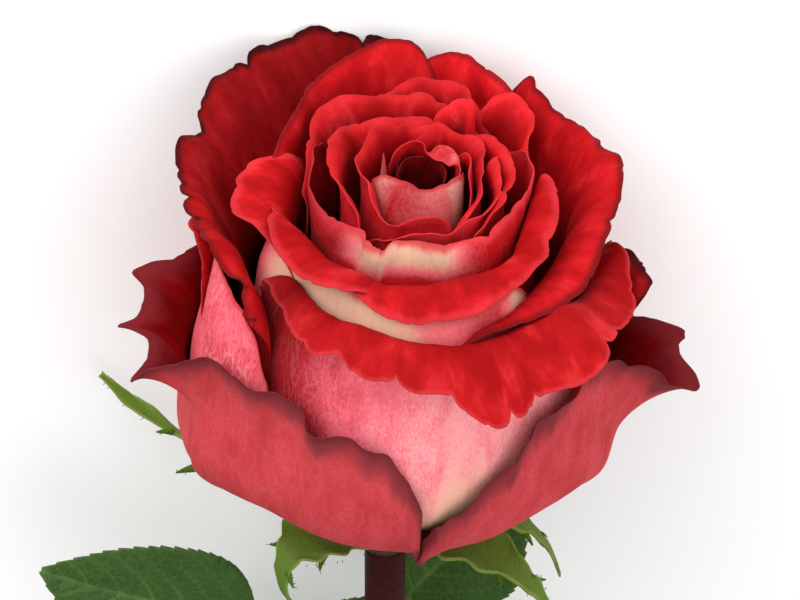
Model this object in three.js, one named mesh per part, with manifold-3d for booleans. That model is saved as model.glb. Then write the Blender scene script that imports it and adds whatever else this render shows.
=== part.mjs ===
// A cut garden rose laid on a table: bloom, calyx, thorny stem and toothed compound leaves.
// Lengths are millimetres. Each piece is first set out in the bloom's own frame (z up the flower's
// axis from the top of the hip, x to the right and y to the back of the bloom) and then laid down.

import * as THREE from 'three';
import Module from 'manifold-3d';

// Driving dimensions
const BLADE = 0.64;              // thickness of petals, leaflets and sepals
const SMOOTHING = 0.12;          // slivers left by fusing petals are merged to this fineness
const BLOOM_LEAN_X = 0.09;       // the flower's axis leans to the right by this much per mm of height
const BLOOM_LEAN_Y = 0.03;
const STEM_LENGTH = 300;
const STEM_RADIUS_TOP = 3.45;
const STEM_RADIUS_FOOT = 4.2;
const STEM_TOP = -10.2;          // where the stem meets the hip
const HIP_RADIUS = 5.8;
const FIT_GAP = 0.3;             // clearance between separate pieces
const LIE_TILT = 5.4;            // degrees the stem slopes from the bloom down to its cut end
const BASE_AT = [-1, -113, 31.8];  // where the bloom's base sits over the table
const CUT_SLOPE = 0.45;          // the stem's foot is cut on this slant
const CUT_AT = 2.5;              // the cut runs this far above the end of a stem of full length
const LEAFLET_TEETH = 5;         // large saw teeth on each side of a leaflet
const LEAFLET_TUCK = 1.3;        // how far a leaflet's foot is sunk into the stalk
const STIPULE_LENGTH = 10;

// Petals from the heart outward: name, claw [radius, height], belly [share of the neck, height],
// neck [first radius, last radius, depth under the rim] and the rim's stations [azimuth, radius, height,
// lean of the edge, own neck radius, own neck depth]; azimuth 0 is the front, 90 the right, 180 the back.
const PETALS = [
  ['spike', [1, 5], [0.9, 32], [7, 7, 8], [
    [-120, 6.6, 62, 0], [-103, 6.8, 67, -5], [-90, 6.6, 62, 0],
  ]],
  ['heart_inner', [0.6, 5], [0.85, 32], [3.2, 4.6, 7], [
    [96, 2.8, 60, 0], [108, 3.3, 63, -10], [135, 3.6, 63.8, -20], [160, 4, 64, -25],
    [190, 4.6, 64.2, -25], [215, 5, 64.2, -20], [236, 5.2, 63.6, -5], [248, 5.2, 60.6, 0],
  ]],
  ['heart_back', [0.8, 5], [0.85, 32], [4.6, 5.2, 8], [
    [60, 4.2, 61, 0], [78, 4.6, 64.6, 0], [98, 4.6, 65.6, -20], [112, 3.8, 64.8, -110, 5, -0.6],
    [128, 3.4, 64.6, -130, 5.3, -1.6], [146, 3.3, 64.8, -130, 5.4, -1.8],
    [162, 3.4, 65, -120, 5.4, -1.4], [173, 4, 65.6, -80, 5.3, 0], [182, 5, 66.8, -30, 5.2, 4],
    [200, 5.5, 67, -20], [228, 5.9, 65.8, 0], [246, 6.3, 63.6, 5],
  ]],
  ['heart_front', [1.4, 5], [0.9, 34], [8.2, 6.4, 8], [
    [-110, 8.2, 60, 0], [-92, 8.2, 63.4, 5], [-76, 6.2, 65, -20], [-50, 4.6, 64.6, -35, 8],
    [-18, 3.3, 64, -45, 8.2], [15, 3.2, 64, -45, 8], [45, 3.8, 64.8, -40, 7.2], [70, 4.9, 65, -20],
    [98, 6, 64, 0],
  ]],
  ['heart_right', [1.4, 4.5], [0.9, 34], [7.8, 7.8, 8], [
    [138, 6.8, 63.5, 0], [118, 6.9, 66, -10], [94, 6.9, 65, -15], [60, 7.4, 61, -10],
  ]],
  ['ring_left_1', [2, 4], [0.92, 34], [10.6, 9, 9], [
    [-200, 10.4, 63.5, 0], [-186, 10.9, 66, 10], [-161, 11.8, 66, 15], [-142, 13, 66, 20],
    [-126, 12.4, 65.4, 15], [-108, 11.3, 65, 5], [-90, 10, 64, 0], [-66, 9.3, 63, -10],
    [-38, 9.2, 62, -15], [-5, 8.6, 62, -20], [20, 8.4, 61.2, -20], [34, 8, 58, -20],
  ]],
  ['ring_right_1', [2.2, 4], [0.92, 35], [9, 10.2, 9], [
    [190, 9, 63, 10], [178, 9.6, 66.4, 25], [156, 11.2, 66.4, 45], [125, 10.7, 66, 30],
    [106, 9.6, 65, 5], [77, 9.4, 64, -5], [52, 9.6, 63, -5], [26, 9.6, 62, -10], [10, 9.9, 58.6, -10],
  ]],
  ['ring_left_2', [2.5, 4], [0.95, 34], [12.6, 13, 10], [
    [-196, 12.6, 62.6, 5], [-184, 13.2, 65.5, 20], [-162, 14.4, 65.5, 25], [-148, 15.6, 65.6, 40],
    [-132, 18.2, 65, 50], [-114, 16.8, 65, 35], [-98, 15, 65, 15], [-84, 13.4, 63.6, 5],
    [-66, 12.8, 61.6, 0], [-48, 12.9, 58, 0],
  ]],
  ['ring_front_2', [2.7, 3.5], [0.95, 34], [11.6, 11.8, 9], [
    [122, 11.2, 61.6, 5], [106, 11.3, 65, 5], [80, 11, 64, 5], [56, 10.9, 63, 0], [39, 11, 62, -5],
    [16, 11, 61.2, -8], [-12, 10.9, 61.2, -8], [-38, 11.2, 59.8, -5], [-52, 11.3, 56.6, 0],
  ]],
  ['ring_right_2', [3, 3.5], [0.95, 35], [12.9, 13.2, 9], [
    [152, 12.9, 62, 5], [138, 13.4, 65, 35], [120, 13.9, 65, 60], [102, 14.3, 64.2, 50],
    [87, 14.1, 64, 35], [68, 13.6, 63, 15], [50, 13.4, 61.6, 5], [36, 13.1, 58, 0],
  ]],
  ['ring_back_corner', [3.4, 3.5], [0.96, 35], [14.3, 14, 8], [
    [180, 14.4, 62.4, 5], [168, 15.6, 66, 50], [155, 17.6, 66.6, 75], [147, 15.4, 65, 40],
    [134, 14.5, 61.6, 5],
  ]],
  ['ring_back_3', [3.5, 3.5], [0.97, 34], [18.6, 15.8, 10], [
    [-102, 19.4, 57.6, 5], [-113, 20.6, 62, 20], [-124, 22.4, 64, 40], [-137, 24.2, 65.3, 50],
    [-152, 20.9, 66, 30], [-168, 20.1, 66, 28], [-184, 18.4, 66, 28], [-194, 17.4, 65, 20],
    [-206, 16.6, 61.6, 5],
  ]],
  ['ring_back_4', [3.8, 3.5], [0.97, 34], [19.4, 18.4, 10], [
    [-150, 22, 61.6, 10], [-168, 22.6, 65.6, 20], [-180, 23.3, 66.2, 28], [-193, 23, 66, 28],
    [-203, 20.8, 64.5, 20], [-215, 18.8, 60.4, 5],
  ]],
  ['lobe_right', [3.9, 3.5], [0.98, 34], [20, 18.2, 10], [
    [162, 21.2, 59.6, 10], [150, 22.4, 64.2, 35], [142, 24.2, 66, 55], [134, 23.4, 65, 45],
    [127, 20.8, 64, 25], [120, 19.4, 61.6, 10], [113, 18.8, 57, 5],
  ]],
  ['front_1', [4.1, 3], [1, 33], [17, 18, 9], [
    [132, 17.4, 60, 5, 17], [118, 18, 63, 15, 16.6], [103, 17.6, 63, 15, 16.2], [87, 16.2, 62, 0, 15.8],
    [72, 14.9, 61, -15, 15.4], [56, 13.9, 60.6, -35, 15, 6], [33, 13.2, 60, -55, 14.8, 5],
    [14, 12.3, 60, -60, 14.6, 5], [-4, 12, 60, -65, 14.6, 5], [-21, 13.2, 60, -60, 14.8, 5],
    [-28, 15, 59.5, -35, 15, 5], [-44, 13.7, 61, -60, 15.4, 5], [-58, 15.2, 61, -50, 15.8, 6],
    [-71, 17, 61, -20, 16.4], [-86, 17.6, 61.4, 5, 16.6], [-102, 18, 63, 10, 16.8],
    [-116, 19.2, 64, 20, 17], [-128, 19.4, 61.6, 10, 17],
  ]],
  ['ring_left_4', [4.4, 3], [1, 32], [20.4, 18, 8], [
    [-98, 22.4, 54.6, 10, 21, 8], [-89, 23.4, 58.8, 30, 20.6, 6], [-78, 25, 59.6, 65, 19.8, 4],
    [-66, 25.6, 59, 82, 18.8, 2.4], [-54, 25.8, 58.4, 88, 18.2, 2], [-44, 25.4, 58, 90, 18, 1.6],
    [-34, 24.6, 57.8, 88, 17.8, 1.6], [-25, 23, 57, 75, 17.6, 2], [-16, 20.4, 54, 30, 17.6, 5],
  ]],
  ['lip_right', [4.5, 3], [1, 32], [18.6, 17.4, 7], [
    [115, 20.6, 55, 5, 20.2], [107, 20, 60, 25, 19.6], [102, 19.4, 61.8, 60, 18.6, 3],
    [95, 20.8, 61.2, 85, 17.6, 2], [84, 21.2, 60.8, 90, 17.4, 1.5], [74, 21.6, 60, 88, 17.2, 2],
    [65, 22, 59.4, 85, 17.2, 2], [58, 23.2, 58.6, 88, 17.4, 2], [46, 23.6, 58, 90, 17.4, 2],
    [33, 24.4, 57.4, 95, 17.4, 1], [20, 25.8, 56.4, 100, 17.4, 0], [8, 26.2, 55.8, 105, 17.6, -0.6],
    [-6, 25.6, 55.8, 105, 17.8, -0.6], [-17, 24.4, 56, 100, 18, 0], [-28, 22.6, 56.4, 85, 18.2, 1],
    [-38, 20.4, 54, 40, 18.4, 4],
  ]],
  ['lip_left', [4.9, 3], [1, 31], [22, 22, 3], [
    [-128, 23.6, 57, 10, 22, 7], [-116, 24.6, 60.6, 50, 21.6], [-107, 28.6, 60.6, 80, 21.2],
    [-96, 30, 60, 88, 21.2], [-84, 30, 59.4, 88, 21.8], [-78, 27.2, 58.6, 80, 22.2],
    [-69, 25, 57.6, 55, 22.6, 4], [-57, 23.4, 54, 20, 22.4, 7],
  ]],
  ['front_2', [4.8, 3], [0.95, 31], [25.2, 21.2, 7], [
    [-92, 24, 53, 5, 25, 7], [-80, 22.8, 56.4, -20, 24.8, 6], [-66, 21.8, 56.8, -45, 24, 5],
    [-50, 20.8, 56.6, -55, 23, 5], [-33, 20.2, 56, -60, 22.4, 4.6], [-16, 20.4, 55.4, -60, 23.4, 4.4],
    [0, 21.2, 55, -60, 24.6, 4.4], [14, 21.8, 55, -60, 25.2, 4.4], [28, 21.6, 55, -50, 24.6, 5],
    [42, 21.2, 54.6, -30, 23.6, 6], [54, 21.4, 50.6, 5, 22.6, 8],
  ]],
  ['back_left_5', [5.1, 3], [1, 31], [24.6, 26, 11], [
    [-104, 25.6, 57, 10], [-116, 26, 63, 20], [-131, 27, 65, 25], [-143, 29.6, 66.2, 35],
    [-161, 31.8, 67, 38], [-175, 32.4, 68, 40], [-180, 29.4, 66, 25], [-187, 27, 59, 10],
  ]],
  ['back_right_5', [5.3, 3], [1, 31], [28.6, 25.6, 11], [
    [194, 30.4, 56, 10], [184, 31.4, 61.6, 20], [178, 30.4, 65.6, 25], [171, 30.6, 67, 30],
    [160, 28, 66.4, 25], [149, 26.9, 64, 20], [138, 26, 58, 5],
  ]],
  ['big_left', [5.4, 2.5], [1.02, 29], [30, 27.6, 13], [
    [-186, 32.4, 56, 10], [-172, 34.6, 65.6, 30], [-160, 39.4, 67, 36], [-150, 41.4, 67, 40],
    [-138, 41.6, 66.6, 42], [-130, 42.4, 65.2, 46], [-121, 42, 63, 48], [-113, 40.6, 61.6, 48],
    [-105, 41, 60.4, 50], [-94, 37.6, 58, 48], [-81, 35.4, 57, 55, 28, 9],
    [-72, 32.8, 55.4, 60, 27.8, 6], [-63, 32.6, 54, 70, 27.4, 4], [-57, 29, 46, 20, 27, 6],
  ]],
  ['big_right', [5.6, 2.5], [1.02, 29], [27.6, 25, 10], [
    [166, 31, 55, 5, 29.6], [153, 29.6, 61.6, 20, 28.4], [147, 31.4, 64.4, 20, 27.6],
    [143, 30.4, 62.4, 26, 27.4], [136, 30.8, 61, 35, 27.4], [124, 33.4, 60, 42],
    [111, 33.2, 59.2, 48, 26, 9], [97, 32, 58.6, 55, 24.6, 6.6], [88, 30.4, 58, 60, 23.8, 5.6],
    [80, 29.9, 57, 66, 23.2, 4.2], [70, 29.6, 55.6, 72, 22.6, 2.8], [58, 29.4, 54.2, 78, 22.4, 1.6],
    [46, 28.6, 53.4, 80, 23.2, 1], [32, 27.6, 53, 80, 24.8, 0.8], [20, 27.4, 52.8, 70, 25.4, 1.4],
    [9, 26.6, 49, 30, 25.4, 5],
  ]],
  ['tip_right', [5.7, 2.5], [0.98, 27], [30.6, 30, 10], [
    [108, 32.4, 43, 5], [96, 33.6, 48, 20], [87, 35.4, 49.6, 45], [81, 36.4, 49.6, 55],
    [77.5, 37.8, 49.6, 70], [74, 36.4, 46.6, 50], [69, 33.8, 42, 25], [62, 31.4, 34, 0],
  ]],
  ['front_3', [5.7, 2.5], [1.09, 21], [26.4, 30, 0], [
    [-74, 25.8, 45, 10, 25.6, 8], [-64, 27.4, 52.6, 45, 25, 4], [-56, 29.6, 55.4, 85, 24.6, 1.6],
    [-46, 30.6, 54.2, 105, 24.4, 0.4], [-37, 31.8, 52.4, 120, 24.4, -0.6],
    [-30, 33, 51.4, 125, 24.6, -1.2], [-24, 31.6, 51.6, 120, 24.8, -1],
    [-16, 34.2, 50.6, 125, 25.2, -1.6], [-7, 34.8, 50.2, 125, 26, -2], [2, 36, 49.4, 125, 26.8, -2.6],
    [7, 35.8, 49, 125, 27.2, -3], [12, 38, 47, 128, 27.4, -4.6], [17, 40.4, 45.2, 128, 27.4, -6.2],
    [26, 39.6, 46, 125, 27, -5.4], [31, 38, 47, 122, 26.8, -4.4], [38, 40, 47.6, 118, 26.6, -4],
    [46, 40.2, 49.2, 110, 26.8, -2.6], [52, 38.2, 50, 104, 27.2, -2], [58, 37, 49.2, 100, 27.6, -1.6],
    [64, 37, 48.8, 94, 28, -1], [70, 36.2, 49.4, 86, 28.2, -0.2], [77, 34.8, 50.4, 75, 28.4, 1.4],
    [84, 32.8, 52, 60, 28.6, 3], [90, 30.8, 52, 35, 28.6, 6], [98, 29.4, 47, 5, 28.8, 8],
  ]],
  ['left_veined', [5.8, 2.5], [1.02, 24], [30.6, 27, 10], [
    [-132, 31, 44, 5], [-106, 32, 51, 5, 32.4], [-84, 31.6, 51.4, 2, 33, 11],
    [-76, 31.4, 50.8, 6, 33, 11], [-67, 30.8, 48.6, 8, 32.4], [-60, 29.6, 45, 10, 31],
    [-54, 28.8, 41, 5, 29.4], [-50, 28, 34, 0, 28.4], [-45, 27.6, 24, 0, 27.6],
  ]],
  ['small_left', [6, 2.5], [1.01, 24], [33.2, 33.2, 10], [
    [-132, 34.4, 43, 5], [-114, 36, 49.6, 15], [-102, 36.4, 51.4, 20], [-94, 36.6, 52.2, 25],
    [-90, 34.8, 50, 12], [-87, 33.8, 43, 0],
  ]],
  ['guard_left', [6.2, 1.4], [1, 16], [33.4, 28, 10], [
    [-130, 33.8, 32, 5, 33.6], [-112, 35.2, 42, 15, 34.2], [-103, 38.6, 42.6, 50, 34.8, 9],
    [-99, 42.8, 41.8, 72, 35.4, 7], [-97, 45.2, 41.2, 82, 35.6, 6], [-94.5, 43.4, 40.2, 78, 35.8, 7.6],
    [-87.5, 44, 38.6, 82, 36, 7.6], [-85.5, 47, 38, 90, 36, 7], [-83, 44, 37.8, 82, 36, 8],
    [-78.5, 42.6, 37, 82, 36, 8], [-75.5, 43.6, 35.6, 86, 36, 7], [-73.5, 46, 34.6, 92, 36, 6.4],
    [-71, 42, 37.6, 78, 35.8, 9], [-66, 36.8, 40.6, 44, 34, 10], [-57, 34.4, 40, 34, 31.8, 9],
    [-48, 31.8, 39, 24, 30.4, 8], [-36, 30.6, 37.6, 18, 30, 8], [-28, 31, 34.6, 22, 30, 6],
    [-23, 30.2, 36, 14, 30, 8], [-9, 30, 33, 8, 30.4, 8], [1, 30.4, 28, 2, 30.6, 7],
    [6, 29.6, 20, -5, 30, 5], [7, 27.4, 13, -15, 28, 3],
  ]],
  ['guard_right', [6.2, 1.4], [0.98, 14], [33, 27, 10], [
    [122, 33.2, 23, 5, 33], [107, 34.8, 30, 22, 33.6, 9], [98, 39, 32.4, 50, 34.6, 9],
    [93.5, 42.8, 32.8, 66, 35.2, 9], [91, 45, 32.4, 76, 35.6, 8.6], [88, 44, 31.8, 78, 35.8, 9],
    [80, 47.4, 28.8, 88, 36.2, 6.4], [77, 44, 31.6, 78, 36.2, 9], [73, 40.8, 35.6, 66, 35.6, 11],
    [68, 37, 38.4, 46, 34, 11], [61, 34.4, 39.6, 34, 32.6, 9], [51, 32, 37, 26, 31.4, 8],
    [43, 31.4, 34.6, 20, 31.2, 8], [36, 31.2, 31, 16, 31, 7], [28, 31, 26, 10, 31, 6],
    [18, 30.6, 22, 4, 31, 5], [11, 29.6, 17.6, -5, 30.4, 4], [8, 26.4, 11.6, -15, 27.4, 3],
  ]],
  ['guard_back_left', [6.2, 2], [1.01, 17], [32, 35.6, 10], [
    [-188, 32.4, 29, 5], [-176, 34.2, 38, 20], [-160, 37, 42, 35], [-146, 38.4, 42.4, 40],
    [-132, 37.8, 41, 30], [-118, 36.8, 37, 12, 35.6], [-107, 36, 27, 5, 35.8],
  ]],
  ['guard_back_right', [6.2, 2], [1.01, 17], [34.6, 34.8, 10], [
    [198, 34.6, 25, 5], [186, 35.6, 37, 20], [170, 37.6, 41, 38], [152, 38.6, 41.4, 42],
    [136, 37.6, 40, 35], [122, 36, 35, 15], [110, 35, 26, 5],
  ]],
];
const MIDDLE_PETALS = 14;      // where the middle petals and the outer petals begin in that list
const OUTER_PETALS = 19;

// Small helpers on numbers, curves and solids

const wasm = await Module();
wasm.setup();

const rad = (degrees) => degrees * Math.PI / 180;
const vec = (x, y, z) => new THREE.Vector3(x, y, z);

// slopes of a smooth curve through rows of values at the given knots
function slopes(knots, rows) {
  const last = rows.length - 1;
  const steps = knots.slice(1).map((k, i) => k - knots[i]);
  const rise = steps.map((h, i) => rows[i].map((v, c) => (rows[i + 1][c] - v) / h));
  const out = rows.map((row) => row.map(() => 0));
  for (let i = 1; i < last; i += 1) {
    const a = steps[i - 1];
    const b = steps[i];
    out[i] = rows[i].map((_, c) => (rise[i - 1][c] * b + rise[i][c] * a) / (a + b));
  }
  out[0] = rise[0].map((v, c) => 1.5 * v - 0.5 * out[1][c]);
  out[last] = rise[last - 1].map((v, c) => 1.5 * v - 0.5 * out[last - 1][c]);
  return out;
}

// the value of that curve at one place
function along(knots, rows, tangents, at) {
  let i = 0;
  while (i < knots.length - 2 && at >= knots[i + 1]) i += 1;
  const h = knots[i + 1] - knots[i];
  const s = (at - knots[i]) / h;
  const a = 2 * s ** 3 - 3 * s ** 2 + 1;
  const b = s ** 3 - 2 * s ** 2 + s;
  const c = -2 * s ** 3 + 3 * s ** 2;
  const d = s ** 3 - s ** 2;
  return rows[i].map((v, k) => (
    a * v + b * h * tangents[i][k] + c * rows[i + 1][k] + d * h * tangents[i + 1][k]));
}

// a closed solid from points and triangles, turned outward
function solid(points, triangles) {
  let volume = 0;
  for (const [a, b, c] of triangles) {
    volume += points[a].dot(points[b].clone().cross(points[c]));
  }
  const triVerts = new Uint32Array(triangles.flatMap(([a, b, c]) => (volume < 0 ? [a, c, b] : [a, b, c])));
  const vertProperties = new Float32Array(points.flatMap((p) => [p.x, p.y, p.z]));
  return new wasm.Manifold(new wasm.Mesh({ numProp: 3, vertProperties, triVerts }));
}

// a blade of even thickness round a grid of points: both faces are split alike
function blade(grid, thickness) {
  const columns = grid.length;
  const rows = grid[0].length;
  const at = (i, j) => grid[Math.min(Math.max(i, 0), columns - 1)][Math.min(Math.max(j, 0), rows - 1)];
  const points = [];
  for (const side of [0.5, -0.5]) {
    for (let i = 0; i < columns; i += 1) {
      for (let j = 0; j < rows; j += 1) {
        const across = at(i + 1, j).clone().sub(at(i - 1, j));
        const up = at(i, j + 1).clone().sub(at(i, j - 1));
        const normal = across.cross(up).normalize();
        points.push(at(i, j).clone().addScaledVector(normal, side * thickness));
      }
    }
  }
  const id = (side, i, j) => (side * columns + i) * rows + j;
  const triangles = [];
  for (let i = 0; i < columns - 1; i += 1) {
    for (let j = 0; j < rows - 1; j += 1) {
      const even = (i + j) % 2 === 0;
      for (const side of [0, 1]) {
        const a = id(side, i, j);
        const b = id(side, i + 1, j);
        const c = id(side, i + 1, j + 1);
        const d = id(side, i, j + 1);
        const pair = even ? [[a, b, c], [a, c, d]] : [[a, b, d], [b, c, d]];
        triangles.push(...(side ? pair.map(([p, q, r]) => [p, r, q]) : pair));
      }
    }
  }
  const border = [];
  for (let i = 0; i < columns - 1; i += 1) border.push([i, 0, i + 1, 0], [i + 1, rows - 1, i, rows - 1]);
  for (let j = 0; j < rows - 1; j += 1) border.push([columns - 1, j, columns - 1, j + 1], [0, j + 1, 0, j]);
  for (const [i, j, k, l] of border) {
    triangles.push([id(0, i, j), id(1, i, j), id(1, k, l)], [id(0, i, j), id(1, k, l), id(0, k, l)]);
  }
  return solid(points, triangles);
}

// a closed solid from rings of points, with flat ends
function loft(rings) {
  const sides = rings[0].length;
  const points = rings.flat();
  const triangles = [];
  for (let i = 0; i < rings.length - 1; i += 1) {
    for (let k = 0; k < sides; k += 1) {
      const a = i * sides + k;
      const b = i * sides + (k + 1) % sides;
      triangles.push([a, b, b + sides], [a, b + sides, a + sides]);
    }
  }
  const last = (rings.length - 1) * sides;
  for (let k = 1; k < sides - 1; k += 1) {
    triangles.push([0, k + 1, k], [last, last + k, last + k + 1]);
  }
  return solid(points, triangles);
}

// a turned body round the flower's axis from [radius, height] pairs
function turned(profile, sides) {
  return loft(profile.map(([radius, height]) => Array.from({ length: sides }, (_, k) => {
    const turn = 2 * Math.PI * k / sides;
    return vec(radius * Math.cos(turn) + BLOOM_LEAN_X * height, radius * Math.sin(turn), height);
  })));
}

// a round shoot along a smooth path of [x, y, z, radius] rows
function shoot(rows, sides, rings) {
  const knots = [0];
  for (let i = 1; i < rows.length; i += 1) {
    knots.push(knots[i - 1] + Math.hypot(...[0, 1, 2].map((k) => rows[i][k] - rows[i - 1][k])));
  }
  const total = knots[knots.length - 1];
  const tangents = slopes(knots, rows);
  let side = vec(1, 0, 0);
  const sections = [];
  for (let i = 0; i <= rings; i += 1) {
    const at = total * i / rings;
    const [x, y, z, radius] = along(knots, rows, tangents, at);
    const near = along(knots, rows, tangents, Math.min(at + 0.01, total));
    const back = along(knots, rows, tangents, Math.max(at - 0.01, 0));
    const run = vec(near[0] - back[0], near[1] - back[1], near[2] - back[2]).normalize();
    side = side.clone().addScaledVector(run, -side.dot(run)).normalize();
    const other = run.clone().cross(side);
    sections.push(Array.from({ length: sides }, (_, k) => {
      const turn = 2 * Math.PI * k / sides;
      return vec(x, y, z)
        .addScaledVector(side, radius * Math.cos(turn))
        .addScaledVector(other, radius * Math.sin(turn));
    }));
  }
  return loft(sections);
}

// the joined body of many solids: loose scraps are dropped and sealed hollows filled
function fused(solids) {
  const whole = solids.reduce((sum, next) => sum.add(next));
  return whole.decompose().reduce((best, next) => (next.volume() > best.volume() ? next : best));
}

// Bloom

// how far back a petal's middle can lie before the table presses it flat, at a height up the bloom
function tableBehind(height) {
  return (BASE_AT[2] - 0.45 * BLADE + height * Math.sin(rad(LIE_TILT))) / Math.cos(rad(LIE_TILT));
}

// one petal: columns follow its rim stations, rows climb from the claw by way of belly and neck to the rim
function petalGrid([, claw, belly, neck, stations], heights) {
  const rim = stations.map(([a, r, z]) => vec(r * Math.sin(rad(a)), -r * Math.cos(rad(a)), z));
  const reach = [0];
  for (let k = 1; k < rim.length; k += 1) {
    reach.push(reach[k - 1] + Math.max(rim[k].distanceTo(rim[k - 1]), 0.5));
  }
  const top = Math.max(...rim.map((p) => p.z));
  const middle = (stations[0][0] + stations[stations.length - 1][0]) / 2;
  const courses = stations.map(([, r, z, , ownNeck, ownDrop], k) => {
    const share = reach[k] / reach[reach.length - 1];
    const neckRadius = ownNeck ?? neck[0] + (neck[1] - neck[0]) * share;
    const fall = z / top;
    return [
      claw,
      [neckRadius * belly[0] * fall ** 0.4, belly[1] * fall],
      [neckRadius, z - (ownDrop ?? neck[2])],
      [r, z],
    ];
  });
  const chord = (c, i) => Math.hypot(c[i + 1][0] - c[i][0], c[i + 1][1] - c[i][1]);
  const lengths = [0, 1, 2].map((i) => courses.reduce((sum, c) => sum + chord(c, i), 0));
  const whole = lengths[0] + lengths[1] + lengths[2];
  const marks = [0, lengths[0] / whole, (lengths[0] + lengths[1]) / whole, 1];
  return courses.map((course, k) => {
    const knots = [0];
    for (let i = 0; i < 3; i += 1) knots.push(knots[i] + Math.sqrt(chord(course, i)));
    const tangents = slopes(knots, course);
    const lean = rad(stations[k][3]);
    const pull = Math.sqrt(chord(course, 2));
    tangents[3] = [Math.sin(lean) * pull, Math.cos(lean) * pull];
    return heights.map((v) => {
      const i = v >= marks[2] ? 2 : v >= marks[1] ? 1 : 0;
      const part = (v - marks[i]) / (marks[i + 1] - marks[i]);
      const at = knots[i] + part * (knots[i + 1] - knots[i]);
      const [radius, height] = along(knots, course, tangents, at);
      const angle = rad(middle + (stations[k][0] - middle) * (0.6 + 0.4 * Math.min(1, v * 1.6)));
      const right = BLOOM_LEAN_X * height + radius * Math.sin(angle);
      const back = BLOOM_LEAN_Y * height - radius * Math.cos(angle);
      return vec(right, Math.min(back, tableBehind(height)), height);
    });
  });
}

// shares of a petal's height where it is drawn: inner petals start where their neighbours hide them
const INNER_ROWS = [0.6, 0.78, 0.9, 1];
const MIDDLE_ROWS = [0.48, 0.68, 0.84, 1];
const OUTER_ROWS = [0.02, 0.25, 0.48, 0.68, 0.85, 1];

// the receptacle and the packed claws of the petals, one solid deep inside the bloom
const RECEPTACLE_PROFILE = [
  [5.4, 0.3], [6.4, 0.9], [10, 3], [15, 7], [19.5, 14], [21, 24], [21, 36], [18, 43], [12, 48], [4, 50],
];

function makeBloom() {
  const receptacle = turned(RECEPTACLE_PROFILE, 18);
  const blades = PETALS.map((petal, n) => {
    const heights = n < MIDDLE_PETALS ? INNER_ROWS : n < OUTER_PETALS ? MIDDLE_ROWS : OUTER_ROWS;
    return blade(petalGrid(petal, heights), BLADE);
  });
  return fused([receptacle, ...blades]);
}

// Calyx

const HIP_PROFILE = [
  [STEM_RADIUS_TOP, -9.9], [4.3, -8.6], [5.5, -6.2], [HIP_RADIUS, -3.8], [5.6, -1.4], [5.2, 0],
];

// sepals as [azimuth, middle line of [radius, height] pairs, width]
const SEPALS = [
  [-118, [[3.6, -2.4], [12, -2.2], [25, -3.4], [38, -2.8], [48, 0.2], [55.5, 4.6]], 9],
  [-58, [[3.6, -2.6], [10, -2.4], [16, -2.8], [20, -4.6], [20.8, -9.8], [18.8, -15.5]], 15],
  [58, [[3.6, -2.6], [10, -2.6], [18, -3.6], [25, -5.6], [29, -8.4], [31.5, -12.5]], 13],
  [92, [[3.6, -2.6], [12, -2.8], [19, -4.8], [24, -8.6], [27, -13.4], [28.5, -18.5]], 9],
  [172, [[3.6, -2.6], [11, -3], [19, -6], [25, -10.5], [27, -17], [27, -24]], 11],
];

// thread-like lobes of a sepal as [share of its length, side, length]
const SEPAL_LOBES = [[0.36, 1, 3.4], [0.5, -1, 3], [0.66, 1, 2.6]];

// one sepal: a channelled blade that tapers along its middle line, fringed with small lobes
function makeSepal(azimuth, path, width) {
  const knots = path.map((_, i) => i / (path.length - 1));
  const tangents = slopes(knots, path);
  const steps = 6;
  const out = vec(Math.sin(rad(azimuth)), -Math.cos(rad(azimuth)), 0);
  const side = vec(Math.cos(rad(azimuth)), Math.sin(rad(azimuth)), 0);
  const place = (s) => {
    const [radius, height] = along(knots, path, tangents, s);
    return out.clone().multiplyScalar(radius).add(vec(0, 0, height));
  };
  const taper = (s) => (1 - s) ** 0.8 * (0.75 + 0.6 * Math.sin(Math.PI * Math.min(1, s * 1.7)));
  const half = (s) => width / 2 * Math.max(0.13, taper(s));
  const grid = Array.from({ length: steps + 1 }, (_, i) => {
    const s = i / steps;
    return [-1, 0, 1].map((t) => place(s)
      .addScaledVector(side, t * half(s))
      .addScaledVector(vec(0, 0, 1), 0.22 * half(s) * t * t));
  });
  const parts = [blade(grid, BLADE)];
  for (const [s, turn, length] of SEPAL_LOBES) {
    const root = place(s).addScaledVector(side, turn * half(s) * 0.6);
    const run = place(Math.min(1, s + 0.12)).sub(place(s)).normalize();
    const tip = root.clone().addScaledVector(side, turn * length * 0.75).addScaledVector(run, length * 0.8);
    const mid = root.clone().lerp(tip, 0.55).addScaledVector(run, length * 0.1);
    parts.push(shoot([[...root.toArray(), 0.8], [...mid.toArray(), 0.6], [...tip.toArray(), 0.34]], 4, 2));
  }
  return fused(parts);
}

function makeCalyx() {
  const hip = turned(HIP_PROFILE, 12);
  return fused([hip, ...SEPALS.map(([azimuth, path, width]) => makeSepal(azimuth, path, width))]);
}

// Stem

// the stem's middle line as [x, y, z, radius], a little crooked from joint to joint
const STEM_PATH = [
  [-0.8, 0, STEM_TOP, STEM_RADIUS_TOP],
  [-0.8, 0.4, -48, 3.4],
  [0.4, 0.8, -78, 4],
  [-0.8, 0.9, -100, 4.2],
  [0, 0.8, -126, 3.6],
  [0.9, 0.6, -150, 4.3],
  [0, 0.4, -180, 3.8],
  [-0.9, 0.2, -215, 4.5],
  [0.2, 0, -256, 3.95],
  [0, 0, STEM_TOP - STEM_LENGTH + 10, STEM_RADIUS_FOOT],
];

// hooked prickles as [height, azimuth, length]
const PRICKLES = [
  [-36, 70, 3.2], [-62, -50, 4], [-118, 30, 4.6], [-134, -100, 5], [-141, 150, 4], [-170, 75, 5.2],
  [-184, -30, 5], [-200, -140, 4.4], [-233, 40, 5.4], [-246, -70, 5.6], [-259, 120, 4.6], [-276, -15, 5],
];

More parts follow.
